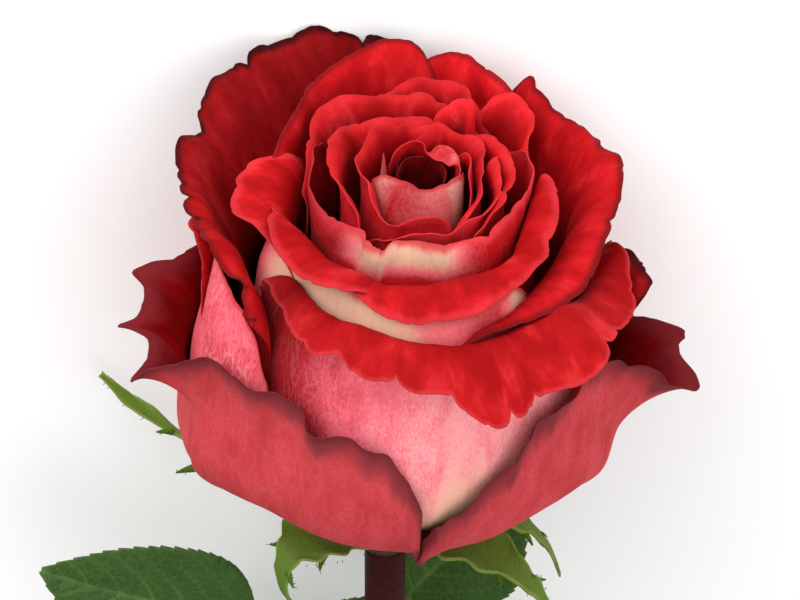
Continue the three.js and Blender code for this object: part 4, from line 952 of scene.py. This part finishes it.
# Guard petals
# The oldest petals hold the bloom from below. Their backs are dull rose red with a net of veins, and
# their reflexed, drying rims are greyish maroon and draw out into points.
GUARD_PETALS = [
    ["guard_left", [6.2, 1.4], [1, 16], [33.4, 28, 10], [
        [-130, 33.8, 32, 5, 33.6], [-112, 35.2, 42, 15, 34.2], [-103, 38.6, 42.6, 50, 34.8, 9],
        [-99, 42.8, 41.8, 72, 35.4, 7], [-97, 45.2, 41.2, 82, 35.6, 6],
        [-94.5, 43.4, 40.2, 78, 35.8, 7.6], [-87.5, 44, 38.6, 82, 36, 7.6], [-85.5, 47, 38, 90, 36, 7],
        [-83, 44, 37.8, 82, 36, 8], [-78.5, 42.6, 37, 82, 36, 8], [-75.5, 43.6, 35.6, 86, 36, 7],
        [-73.5, 46, 34.6, 92, 36, 6.4], [-71, 42, 37.6, 78, 35.8, 9], [-66, 36.8, 40.6, 44, 34, 10],
        [-57, 34.4, 40, 34, 31.8, 9], [-48, 31.8, 39, 24, 30.4, 8], [-36, 30.6, 37.6, 18, 30, 8],
        [-28, 31, 34.6, 22, 30, 6], [-23, 30.2, 36, 14, 30, 8], [-9, 30, 33, 8, 30.4, 8],
        [1, 30.4, 28, 2, 30.6, 7], [6, 29.6, 20, -5, 30, 5], [7, 27.4, 13, -15, 28, 3],
    ]],
    ["guard_right", [6.2, 1.4], [0.98, 14], [33, 27, 10], [
        [122, 33.2, 23, 5, 33], [107, 34.8, 30, 22, 33.6, 9], [98, 39, 32.4, 50, 34.6, 9],
        [93.5, 42.8, 32.8, 66, 35.2, 9], [91, 45, 32.4, 76, 35.6, 8.6], [88, 44, 31.8, 78, 35.8, 9],
        [80, 47.4, 28.8, 88, 36.2, 6.4], [77, 44, 31.6, 78, 36.2, 9], [73, 40.8, 35.6, 66, 35.6, 11],
        [68, 37, 38.4, 46, 34, 11], [61, 34.4, 39.6, 34, 32.6, 9], [51, 32, 37, 26, 31.4, 8],
        [43, 31.4, 34.6, 20, 31.2, 8], [36, 31.2, 31, 16, 31, 7], [28, 31, 26, 10, 31, 6],
        [18, 30.6, 22, 4, 31, 5], [11, 29.6, 17.6, -5, 30.4, 4], [8, 26.4, 11.6, -15, 27.4, 3],
    ]],
    ["guard_back_left", [6.2, 2], [1.01, 17], [32, 35.6, 10], [
        [-188, 32.4, 29, 5], [-176, 34.2, 38, 20], [-160, 37, 42, 35], [-146, 38.4, 42.4, 40],
        [-132, 37.8, 41, 30], [-118, 36.8, 37, 12, 35.6], [-107, 36, 27, 5, 35.8],
    ]],
    ["guard_back_right", [6.2, 2], [1.01, 17], [34.6, 34.8, 10], [
        [198, 34.6, 25, 5], [186, 35.6, 37, 20], [170, 37.6, 41, 38], [152, 38.6, 41.4, 42],
        [136, 37.6, 40, 35], [122, 36, 35, 15], [110, 35, 26, 5],
    ]],
]
# The guards' velvet fronts are painted far darker than the other petals': painted shade in the pocket under
# each reflexed rim.
guard_velvet = petal_velvet(
    "guard velvet",
    {
        **RED_VELVET,
        "velvet": (0.20, 0.001, 0.002),
        "velvet_light": (0.26, 0.002, 0.003),
        "velvet_shade": (0.15, 0.001, 0.001),
        "velvet_dark": (0.11, 0.001, 0.001),
        "rear": (0.51, 0.042, 0.050),
        "rear_dark": (0.24, 0.016, 0.020),
        "pink": (0.60, 0.085, 0.10),
        "margin": (0.17, 0.024, 0.030),
        "margin_shows": 0.6,
        "vein": (0.66, 0.11, 0.13),
        "line": (0.16, 0.03, 0.03),
    },
    4.2, 30)
make_petals(
    "guard_petals", GUARD_PETALS, {},
    {"curl": 25, "curl_width": 2.4, "fray": 0.5, "flush": 0.8, "redder": [60, 90], "weathered": 0.3,
     "grain": 0.7, "rows": 64},
    0.0, guard_velvet, 16)

# Calyx
# Five green sepals hang down and outward from a round hip under the bloom. Each is a leathery blade that
# tapers to a tail, with a few thread-like side lobes and a fringe of short sticky gland hairs.

# A sepal is [azimuth, its middle line as radius and height, width, how far its tail widens into a small
# leaf, lobes]; a lobe is [share of the sepal's length, side, length].
SHORT_LOBES = [[0.36, 1, 3.4], [0.5, -1, 3], [0.66, 1, 2.6]]
LONG_LOBES = [[0.46, 1, 8.8], [0.5, -1, 3], [0.66, 1, 2.6]]
SEPALS = [
    [-118, [[3.6, -2.4], [12, -2.2], [25, -3.4], [38, -2.8], [48, 0.2], [55.5, 4.6]], 9, 0.7, LONG_LOBES],
    [-58, [[3.6, -2.6], [10, -2.4], [16, -2.8], [20, -4.6], [20.8, -9.8], [18.8, -15.5]], 15, 0, SHORT_LOBES],
    [58, [[3.6, -2.6], [10, -2.6], [18, -3.6], [25, -5.6], [29, -8.4], [31.5, -12.5]], 13, 0, SHORT_LOBES],
    [92, [[3.6, -2.6], [12, -2.8], [19, -4.8], [24, -8.6], [27, -13.4], [28.5, -18.5]], 9, 0, SHORT_LOBES],
    [172, [[3.6, -2.6], [11, -3], [19, -6], [25, -10.5], [27, -17], [27, -24]], 11, 0, SHORT_LOBES],
]
SEPAL_THICKNESS, SEPAL_EDGE = 0.62, 0.5
SEPAL_COLUMNS, SEPAL_ROWS = 90, 25
GLAND_HAIRS = 24

# A gland hair is rows of [share of its length, radius]: a thin stalk with a round tip. The hairs of the
# side lobes are of one length, so theirs are rows of [millimetres, radius].
EDGE_HAIR = [[0, 0.10], [0.8, 0.08], [0.9, 0.12], [1, 0.06]]
LOBE_HAIR = [[0, 0.09], [0.45, 0.07], [0.53, 0.11], [0.6, 0.06]]
HIP_PROFILE = [[3.5, -10.18], [4.3, -8.6], [5.5, -6.2], [5.8, -3.8], [5.6, -1.4], [5.5, 0], [5.8, 1.1]]
HIP_SIDES, HIP_RINGS, HIP_GIRTH = 56, 30, 12

# What is painted on green parts unless a part says otherwise: back 0 to 1, millimetres from the border,
# young 0 to 1 and hair 0 to 1.
PLANT_PAINT = {"back": 0, "border": 5, "young": 0, "hair": 0}


def tube(path, sides, rings, ends=0.2):
    """A round shoot: rows of x, y, z and radius follow a smooth curve, and each ring stands square to it.
    The ring's first direction is carried along by taking out what runs along the path. The two ends draw
    in to a hundredth of their radius over a hair's length, which closes them."""
    path = np.asarray(path, float)
    reach = np.concatenate([[0], np.cumsum(lengths(path[:, :3]))])
    at = np.concatenate([[0], np.linspace(0, reach[-1], rings), [reach[-1]]])
    rows = smooth_curve(reach, path, at)
    rows[[0, -1], 3] *= 0.01
    run = unit(np.gradient(smooth_curve(reach, path, at + np.linspace(-1e-3, 1e-3, len(at)))[:, :3], axis=0))
    run[0], run[-1] = run[1], run[-2]
    rows[0, :3] -= ends * rows[1, 3] * run[0]
    rows[-1, :3] += ends * rows[-2, 3] * run[-1]
    side = np.empty_like(run)
    held = np.array([1.0, 0, 0]) if abs(run[0, 0]) < 0.9 else np.array([0, 1.0, 0])
    for k, forward in enumerate(run):
        held = held - held @ forward * forward
        held = held / np.linalg.norm(held)
        side[k] = held
    other = np.cross(run, side)
    turn = np.linspace(0, 2 * np.pi, sides, endpoint=False)[None, :, None]
    radius = rows[:, None, 3:4]
    grid = rows[:, None, :3] + radius * (side[:, None] * np.cos(turn) + other[:, None] * np.sin(turn))
    return grid, reach[-1]


def wrapped(grid, length, **paint):
    """A closed skin round rings of points, with plain painted values: quads join each ring to the next."""
    rings, sides = grid.shape[:2]
    index = np.arange(rings * sides).reshape(rings, sides)
    after = np.roll(index, -1, axis=1)
    faces = np.stack([index[:-1], after[:-1], after[1:], index[1:]], -1).reshape(-1, 4)
    girth = np.broadcast_to(np.linspace(0, 20, sides)[None], (rings, sides))
    up = np.broadcast_to(np.linspace(0, length, rings)[:, None], (rings, sides))
    paint = {key: np.full(rings * sides, float(value)) for key, value in {**PLANT_PAINT, **paint}.items()}
    return blade_part(grid.reshape(-1, 3), faces, np.stack([girth, up], -1).reshape(-1, 2), **paint)


def compass(azimuth):
    """The level direction outward at an azimuth, and the one square to it."""
    turn = np.radians(azimuth)
    return np.array([np.sin(turn), -np.cos(turn), 0]), np.array([np.cos(turn), np.sin(turn), 0])


def hip_part():
    """The hip: its profile turned round the leaning axis and closed flat above and below. It goes from
    green at the top to maroon at the stem."""
    turn = np.linspace(0, 2 * np.pi, HIP_SIDES, endpoint=False)
    rows = np.array(HIP_PROFILE, float)
    reach = np.concatenate([[0], np.cumsum(lengths(rows))])
    line = smooth_curve(reach, rows, np.linspace(0, reach[-1], HIP_RINGS))
    line = np.vstack([[0.02, line[0, 1]], line, [0.02, line[-1, 1] + 0.2]])
    radius, height = line[:, :1], line[:, 1:]
    grid = np.stack([
        radius * np.cos(turn) + AXIS_LEAN[0] * height,
        radius * np.sin(turn),
        np.repeat(height, HIP_SIDES, axis=1),
    ], 2)
    part = wrapped(grid, HIP_GIRTH, border=2)
    part["paint"]["young"] = np.clip(-0.2 * grid[:, :, 2].ravel() - 0.8, 0, 1)
    return part


def sepal_half(width, leafy, share):
    """Half the sepal's width: a swelling of the lower part times a taper to the tail, which draws in
    before it widens again where the tail is leafy."""
    taper = np.maximum(1 - share, 0) ** 0.8 * (0.75 + 0.6 * np.sin(np.pi * np.minimum(1, 1.7 * share)))
    tail = np.exp(-((share - 0.83) / 0.09) ** 2) - 1.1 * np.exp(-((share - 0.63) / 0.07) ** 2)
    return width / 2 * np.maximum(0.13, taper) + leafy * tail


def gland_hair(foot, way, length, hair):
    """One gland hair from its foot along a direction."""
    grid, reach = tube([[*(foot + at * length * way), radius] for at, radius in hair], 5, 6)
    return wrapped(grid, reach, border=0, young=0.2, hair=1)


def sepal_parts(azimuth, path, width, leafy, lobes, draw):
    """One sepal's parts: the blade, channelled along its middle with wavy edges, its thread lobes
    and its gland hairs."""
    out, side = compass(azimuth)
    knots = np.linspace(0, 1, len(path))

    def place(share):
        radius, height = smooth_curve(knots, path, np.atleast_1d(share)).T
        return radius[:, None] * out + height[:, None] * UP

    def edge_at(share, turn, part_out):
        return (place(share) + turn * sepal_half(width, leafy, share) * part_out * side)[0]

    share = np.linspace(0, 1, SEPAL_COLUMNS)
    across = np.linspace(-1, 1, SEPAL_ROWS)
    half = sepal_half(width, leafy, share)[:, None]
    edge_wave = 1 + 0.10 * np.sin(46 * share + draw.uniform(0, 6))[:, None] * np.abs(across) ** 3
    lift = 0.22 * half * across**2 + 0.28 * np.sin(31 * share[:, None] + 4 * across) * across**2
    sheet = place(share)[:, None] + (half * across * edge_wave)[:, :, None] * side + lift[:, :, None] * UP
    points, faces, back, _, maps = blade_of(sheet, SEPAL_THICKNESS, SEPAL_EDGE)
    border = np.tile((half * (1 - np.abs(across))).ravel(), 2)
    young = np.tile(np.repeat(1 - share, SEPAL_ROWS), 2)
    maps = maps + draw.uniform(0, 300, 2)
    parts = [blade_part(points, faces, maps, back=back, border=border, young=young, hair=0 * back)]
    threads = []
    for at, turn, length in lobes:
        root = edge_at(at, turn, 0.6)
        run = unit(place(min(1, at + 0.12)) - place(at))[0]
        tip = root + turn * length * 0.75 * side + length * 0.8 * run
        bend = root + 0.55 * (tip - root) + length * 0.1 * run
        grid, reach = tube([[*root, 0.6], [*bend, 0.18 + 0.07 * length], [*tip, 0.14]], 10, 14)
        parts.append(wrapped(grid, reach, border=0.4, young=0.4))
        threads.append((root, tip))
    for at in draw.uniform(0.08, 0.98, GLAND_HAIRS):
        turn = draw.choice([-1, 1])
        run = unit(place(min(1, at + 0.02)) - place(at - 0.02))[0]
        way = unit(turn * side + draw.uniform(0, 0.8) * run + draw.uniform(-0.5, 0.5) * UP)
        parts.append(gland_hair(edge_at(at, turn, 0.97), way, draw.uniform(0.4, 0.75), EDGE_HAIR))
    for root, tip in threads:
        for at in np.linspace(0.3, 1, 5):
            parts.append(gland_hair(root + at * (tip - root), unit(draw.normal(0, 1, 3)), 1, LOBE_HAIR))
    return parts


# plant net: a fine net of veins between the main ones, cloudy shade, and their height
plant_net, net_in, net_out = start_group("plant net", ["Cell Size"], ["Veins", "Cloud", "Height"])
cell_scale = maths(plant_net, "DIVIDE", MAP_UNIT, net_in["Cell Size"])
cells = add_node(plant_net, "ShaderNodeTexVoronoi", {"Vector": net_in["Map"], "Scale": cell_scale},
                 feature="DISTANCE_TO_EDGE").outputs["Distance"]
give(plant_net, net_out, {
    "Veins": ranged(plant_net, cells, 0.0, 0.12, 1.0, 0.0),
    "Cloud": noise(plant_net, net_in["Map"], 16, 4).outputs[0],
    "Height": ranged(plant_net, cells, 0.0, 0.3),
})


def plant_skin(name, colours, roughness, relief, shine):
    """Green plant skin from painted values: the body colour with paler veins and cloudy shade, another
    colour on the back, and an edge colour within half a millimetre of the border. The relief is in
    metres."""
    material, tree, surface = open_material(name)
    net = use_group(tree, plant_net, {"Cell Size": colours["cell"]})
    colour = blended(tree, painted(tree, "young"), colours["old"], colours["young"])
    colour = blended(tree, ranged(tree, net["Cloud"], 0.35, 0.7, 0.0, 0.6), colour, colours["cloud"])
    netted = ranged(tree, net["Veins"], 0.0, 1.0, 0.0, colours["net"])
    colour = blended(tree, netted, colour, colours["vein"])
    colour = blended(tree, painted(tree, "back"), colour, colours["back"])
    on_rim = ranged(tree, painted(tree, "border"), 0.05, 0.4, colours["rim"], 0.0)
    colour = blended(tree, on_rim, colour, colours["edge"])
    colour = blended(tree, painted(tree, "hair"), colour, colours["hair"])
    finish_surface(tree, surface, colour, net["Height"], 0.5, relief)
    set_inputs(surface, {"Roughness": roughness, "Specular IOR Level": shine})
    return material


SEPAL_GREEN = {
    "cell": 1.1, "old": (0.050, 0.108, 0.003), "young": (0.078, 0.165, 0.006),
    "cloud": (0.034, 0.070, 0.002), "vein": (0.10, 0.17, 0.02), "net": 0.3,
    "back": (0.10, 0.17, 0.02), "edge": (0.24, 0.30, 0.06), "rim": 0.5, "hair": (0.10, 0.13, 0.015),
}
HIP_GREEN = {**SEPAL_GREEN, "young": (0.042, 0.005, 0.004)}
sepal_green = plant_skin("sepal green", SEPAL_GREEN, 0.55, 0.0001, 0.12)
hip_green = plant_skin("hip green", HIP_GREEN, 0.55, 0.0001, 0.12)
build_piece("hip", [hip_part()], hip_green, ["calyx"])
draw_sepal = np.random.default_rng(21)
sepal_blades = []
for sepal in SEPALS:
    sepal_blades += sepal_parts(*sepal, draw_sepal)
build_piece("sepals", sepal_blades, sepal_green, ["calyx"])

# Stem
# The stem is a woody green shoot flushed maroon, a little crooked from joint to joint. Hooked prickles
# grow from its skin, a small bud sits over each leaf, and its foot is cut on a slant to the pale pith.
STEM_PATH = [
    [-0.8, 0, -10.2, 3.45],
    [-0.8, 0.4, -48, 3.4],
    [0.4, 0.8, -78, 4],
    [-0.8, 0.9, -100, 4.2],
    [0, 0.8, -126, 3.6],
    [0.9, 0.6, -150, 4.3],
    [0, 0.4, -180, 3.8],
    [-0.9, 0.2, -215, 4.5],
    [0.2, 0, -256, 3.95],
    [0, 0, -300.2, 4.2],
]
PRICKLES = [
    [-36, 70, 3.2], [-62, -50, 4], [-118, 30, 4.6], [-134, -100, 5], [-141, 150, 4], [-170, 75, 5.2],
    [-184, -30, 5], [-200, -140, 4.4], [-233, 40, 5.4], [-246, -70, 5.6], [-259, 120, 4.6], [-276, -15, 5],
]
LEAF_JOINTS = [[-78, 40], [-100, -90], [-150, 90], [-215, -90]]
CUT_FALL = 0.45
CUT_HEIGHT = -297.25
PITH_RADIUS = 3.75
STEM_SIDES, STEM_RINGS = 40, 230
PRICKLE_SIDES = 16

# A prickle at shares of its reach from the bark: [share of its length, rise, half its height, half its
# width], in millimetres but for the first. A bud is rows of [height over its foot, radius].
PRICKLE_SHARES = [0, 0.3, 0.58, 1]
PRICKLE_ROWS = [[-0.3, 0, 3, 1.15], [0.1, -0.1, 2.4, 0.95], [0.45, -0.5, 1.4, 0.62], [1, -2.1, 0.1, 0.08]]
BUD = [[0, 1.2], [2.8, 1.45], [4.4, 0.9], [5.6, 0.12]]


def stem_at(height):
    """Middle and radius of the stem at a height."""
    rows = np.array(STEM_PATH, float)
    x, y, _, radius = smooth_curve(-rows[:, 2], rows, np.array([-height]))[0]
    return np.array([x, y, height]), radius


def prickle_part(height, azimuth, length):
    """One prickle: oval rings whose long foot on the bark draws in to a point that hooks to the cut end.
    It pales from the foot to the point."""
    middle, radius = stem_at(height)
    out, side = compass(azimuth)
    share = np.linspace(0, 1, PRICKLE_SIDES)
    reach, rise, tall, wide = smooth_curve(PRICKLE_SHARES, PRICKLE_ROWS, share).T
    turn = np.linspace(0, 2 * np.pi, PRICKLE_SIDES, endpoint=False)[None]
    up = (height + rise[:, None] + tall[:, None] * np.cos(turn))[:, :, None]
    over = (wide[:, None] * np.sin(turn))[:, :, None]
    away = (radius + reach * length)[:, None, None]
    part = wrapped(middle * [1, 1, 0] + up * UP + away * out + over * side, length)
    part["paint"]["back"] = np.repeat(np.linspace(0.2, 1, PRICKLE_SIDES), PRICKLE_SIDES)
    return part


def bark_part():
    """The bark as a tube, swollen and ridged at the leaf joints and squared off on the slanted cut. It is
    younger toward the bloom, and the pith shows on the cut."""
    grid, length = tube(STEM_PATH, STEM_SIDES, STEM_RINGS, ends=0.02)
    height = grid[:, :, 2]
    for joint, azimuth in LEAF_JOINTS:
        out, _ = compass(azimuth)
        around = unit(grid[:, :, :2] - stem_at(joint)[0][:2]) @ out[:2]
        swell = 0.45 * np.exp(-((height - joint - 1.5) / 2.6) ** 2) * np.clip(around, 0, 1)
        ridge = 0.22 * np.exp(-((height - joint + 1.6) / 0.7) ** 2)
        grid = grid + (swell + ridge)[:, :, None] * out * 0.9
    cut = CUT_HEIGHT - CUT_FALL * grid[:, :, 1]
    grid[:, :, 2] = np.maximum(grid[:, :, 2], cut)
    part = wrapped(grid, length)
    part["paint"]["young"] = np.clip(1 + grid[:, :, 2].ravel() / 120, 0, 1) * 0.5
    on_cut = grid[:, :, 2] - cut < 0.02
    inner = np.linalg.norm(grid[:, :, :2], axis=2) < PITH_RADIUS
    part["paint"]["hair"] = (on_cut & inner).ravel().astype(float)
    return part


def bud_part(joint, azimuth):
    """The small bud over a leaf joint."""
    middle, radius = stem_at(joint)
    out, _ = compass(azimuth)
    foot = middle + (radius + 0.3) * out + 3.6 * UP
    grid, reach = tube([[*(foot + height * UP), wide] for height, wide in BUD], 14, 14)
    return wrapped(grid, reach, back=0.6, young=0.2)


bark = plant_skin(
    "maroon bark",
    {"cell": 2.2, "old": (0.038, 0.004, 0.004), "young": (0.036, 0.004, 0.003),
     "cloud": (0.022, 0.002, 0.002), "vein": (0.07, 0.018, 0.012), "net": 0.2,
     "back": (0.14, 0.030, 0.018), "edge": (0.1, 0.03, 0.02), "rim": 0.0, "hair": (0.55, 0.60, 0.34)},
    0.6, 0.00008, 0.08)
stem_parts = [bark_part()]
stem_parts += [prickle_part(*prickle) for prickle in PRICKLES]
stem_parts += [bud_part(*joint) for joint in LEAF_JOINTS]
build_piece("thorny_stem", stem_parts, bark, ["stem"])

# Leaves
# Each leaf is a slim stalk with a pair of narrow stipules at its foot, paired leaflets and an end leaflet.
# A leaflet is an oval with a drawn-out tip, folded along its midrib, quilted between the side veins and
# cut along the edge in fine saw teeth; its face is dark and satin, its back paler and dull.

# A leaf is its stalk's points, the way its face looks, its pairs of leaflets at a share of the stalk with
# their turns from it and droops, and its end leaflet.
LEAVES = {
    "leaf_1": {
        "stalk": [[3, 3.2, -78], [6.5, 9, -66], [6.5, 12.2, -54], [3, 13.4, -34]],
        "face": [-0.1, -0.93, 0.2],
        "pairs": [{"at": 0.56, "length": 22, "width": 16, "turns": [56, -64], "droops": [0.04, 0.14]}],
        "end": {"length": 33, "width": 27, "turn": -46, "droop": 0.05},
    },
    "leaf_2": {
        "stalk": [[-4.2, 1, -100], [-10, 4.6, -80], [-15, 6.6, -61], [-18.6, 6, -44], [-22.2, 4.4, -32.6]],
        "face": [0.05, -0.92, 0.3],
        "pairs": [
            {"at": 0.4, "length": 24, "width": 17, "turns": [66, -56], "droops": [0.2, 0.02]},
            {"at": 0.66, "length": 26, "width": 18, "turns": [64, -50], "droops": [0.2, 0.02]},
        ],
        "end": {"length": 42, "width": 27, "turn": 42, "droop": 0.12},
    },
    "leaf_3": {
        "stalk": [[4.6, 0.9, -150], [20, 4, -130], [36, 7.5, -114], [52, 10, -102]],
        "face": [0.1, -1, 0.1],
        "pairs": [
            {"at": 0.5, "length": 32, "width": 21, "turns": [62, -62], "droops": [0.16, 0.14]},
            {"at": 0.76, "length": 36, "width": 24, "turns": [58, -58], "droops": [0.14, 0.12]},
        ],
        "end": {"length": 44, "width": 29, "turn": 0, "droop": 0.12},
    },
    "leaf_4": {
        "stalk": [[-4.8, 0.4, -215], [-21, 3, -198], [-38, 5.4, -183], [-54, 7, -170]],
        "face": [-0.1, -1, 0.12],
        "pairs": [
            {"at": 0.49, "length": 33, "width": 22, "turns": [61, -64], "droops": [0.1, 0.11]},
            {"at": 0.76, "length": 37, "width": 25, "turns": [58, -58], "droops": [0.1, 0.08]},
        ],
        "end": {"length": 46, "width": 30, "turn": 0, "droop": 0.1},
    },
}
TEETH = 21
SIDE_VEINS = 7
LEAF_THICKNESS, LEAF_EDGE = 0.5, 0.4
LEAFLET_COLUMNS, LEAFLET_ROWS = 121, 33
LEAFLET_STALK = 0.07
LEAFLET_FOLD = 0.2
TOOTH_HEIGHT, TOOTH_LEAN = 0.04, 0.3
VEIN_WIDTH, QUILT_HEIGHT = 0.055, 0.32
RIB_WIDTH, RIB_DEPTH = 0.45, 0.12
STALK_FOOT = 1.7
STALK_PRICKLES = 7
STIPULES = [[0.03, 36], [0.055, -40]]
STIPULE_LENGTH = 10


def leaflet_part(root, run, face, length, width, droop, draw):
    """One leaflet. Half its width is a skewed sine of its length; the saw leans each tooth to the tip. It
    rises to both sides of the midrib, droops with the square of its length, and sinks along the side
    veins: lines of equal length share less half the width share, curving a little to the tip."""
    forward = unit(run)
    up = unit(face - face @ forward * forward)
    side = np.cross(forward, up)
    share = np.linspace(0, 1, LEAFLET_COLUMNS)
    across = np.linspace(-1, 1, LEAFLET_ROWS)
    off_middle = np.abs(across)
    edge = off_middle**6
    past = np.maximum(0.02, (share - LEAFLET_STALK) / (1 - LEAFLET_STALK))
    oval = np.sin(np.pi * past**0.82) ** 0.8 * (1 - 0.18 * share)
    tooth = (share * TEETH) % 1 * np.clip((past - 0.05) * 12, 0, 1)
    saw = 1 - 0.5 * TOOTH_HEIGHT + TOOTH_HEIGHT * tooth * np.clip((1 - share) * 8, 0, 1)
    lean = TOOTH_LEAN * edge * tooth[:, None] / TEETH
    share, past = share[:, None], past[:, None]
    inner_half = np.maximum(0.32, width / 2 * oval)[:, None]
    half = inner_half * (1 + (saw[:, None] - 1) * edge)
    phase = (share - 0.5 * off_middle**1.3 * inner_half / (width / 2)) * SIDE_VEINS + 0.35
    near_vein = np.abs((phase + 0.5) % 1 - 0.5)
    rib = np.exp(-(off_middle * inner_half / RIB_WIDTH) ** 2)
    vein = np.maximum(np.exp(-(near_vein / VEIN_WIDTH) ** 2) * np.clip(1.15 - off_middle, 0, 1), rib)
    quilt = QUILT_HEIGHT * np.sin(np.pi * np.clip(near_vein * 2, 0, 1)) * (1 - off_middle**3)
    quilt = quilt * np.clip(past * 5, 0, 1)
    wave = 0.05 * np.sin(9 * share + draw.uniform(0, 6)) * off_middle**2.5 * inner_half
    rise = LEAFLET_FOLD * inner_half * off_middle - droop * length * share**2
    lift = rise + quilt - RIB_DEPTH * rib + wave
    sheet = (root + ((share + lean) * length)[:, :, None] * forward
             + (across * half)[:, :, None] * side + lift[:, :, None] * up)
    points, faces, back, _, _ = blade_of(sheet, LEAF_THICKNESS, LEAF_EDGE)
    flat_map = np.stack([np.broadcast_to(share * length, half.shape), across * half], -1)
    maps = np.tile(flat_map.reshape(-1, 2), (2, 1)) + draw.uniform(0, 300, 2)
    border = np.tile((half * (1 - off_middle)).ravel(), 2)
    return blade_part(points, faces, maps, back=back, border=border, young=np.tile(vein.ravel(), 2),
                      hair=0 * back)


def stipule_part(foot, run, up):
    """One of the two narrow blades at the foot of a leaf's stalk."""
    side = np.cross(run, up)
    share = np.linspace(0, 1, 24)
    across = np.linspace(-1, 1, 9)
    half = 0.35 + 1.9 * np.sin(np.pi * (0.12 + 0.85 * share))
    sheet = (foot + (STIPULE_LENGTH * share)[:, None, None] * run
             + (half[:, None] * across)[:, :, None] * side)
    points, faces, back, border, maps = blade_of(sheet, LEAF_THICKNESS, LEAF_EDGE)
    return blade_part(points, faces, maps, back=back, border=border, young=0.3 + 0 * back, hair=0 * back)


def leaf_parts(stalk, face, pairs, end, draw):
    """One compound leaf's parts: the stalk with its small prickles, the leaflets and the stipules."""
    stalk = np.array(stalk, float)
    knots = np.linspace(0, 1, len(stalk))
    up = unit(np.array(face, float))

    def place(share):
        return smooth_curve(knots, stalk, np.atleast_1d(share))[0]

    def heading_at(share):
        return unit(place(min(1, share + 0.02)) - place(max(0, share - 0.02)))

    def turned(vector, degrees):
        angle = np.radians(degrees)
        return (vector * np.cos(angle) + np.cross(up, vector) * np.sin(angle)
                + up * (up @ vector) * (1 - np.cos(angle)))

    radii = [STALK_FOOT] + [1.15 - 0.1 * i for i in range(1, len(stalk))]
    fine = np.linspace(0, 1, 24)
    line = np.hstack([smooth_curve(knots, stalk, fine), np.interp(fine, knots, radii)[:, None]])
    grid, reach = tube(line, 16, 70)
    parts = [wrapped(grid, reach, young=0.7, hair=0.8)]
    for at in draw.uniform(0.15, 0.95, STALK_PRICKLES):
        foot = place(at) - 0.7 * up
        tip = foot - 1.5 * up - 0.7 * heading_at(at)
        thorn, size = tube([[*foot, 0.55], [*(0.5 * (foot + tip)), 0.25], [*tip, 0.05]], 8, 8)
        parts.append(wrapped(thorn, size, young=0.5, hair=1))

    def leaflet(share, turn, length, width, droop):
        run = turned(heading_at(share), turn)
        parts.append(leaflet_part(place(share) - 1.3 * run, run, up, length + 1.3, width, droop, draw))

    for pair in pairs:
        leaflet(pair["at"], pair["turns"][0], pair["length"], pair["width"], pair["droops"][0])
        leaflet(pair["at"] + 0.04, pair["turns"][1], pair["length"] * 0.94, pair["width"], pair["droops"][1])
    leaflet(1, end["turn"], end["length"], end["width"], end["droop"])
    for base, turn in STIPULES:
        parts.append(stipule_part(place(base), turned(heading_at(0.06), turn), up))
    return parts


leaf_green = plant_skin(
    "leaf green",
    {"cell": 1.3, "old": (0.030, 0.078, 0.008), "young": (0.085, 0.165, 0.034),
     "cloud": (0.021, 0.056, 0.006), "vein": (0.055, 0.125, 0.028), "net": 0.4,
     "back": (0.14, 0.20, 0.10), "edge": (0.09, 0.10, 0.03), "rim": 0.4, "hair": (0.11, 0.085, 0.03)},
    0.5, 0.00012, 0.2)
draw_leaf = np.random.default_rng(31)
for leaf_name, leaf in LEAVES.items():
    build_piece("rose_" + leaf_name, leaf_parts(**leaf, draw=draw_leaf), leaf_green, [leaf_name])
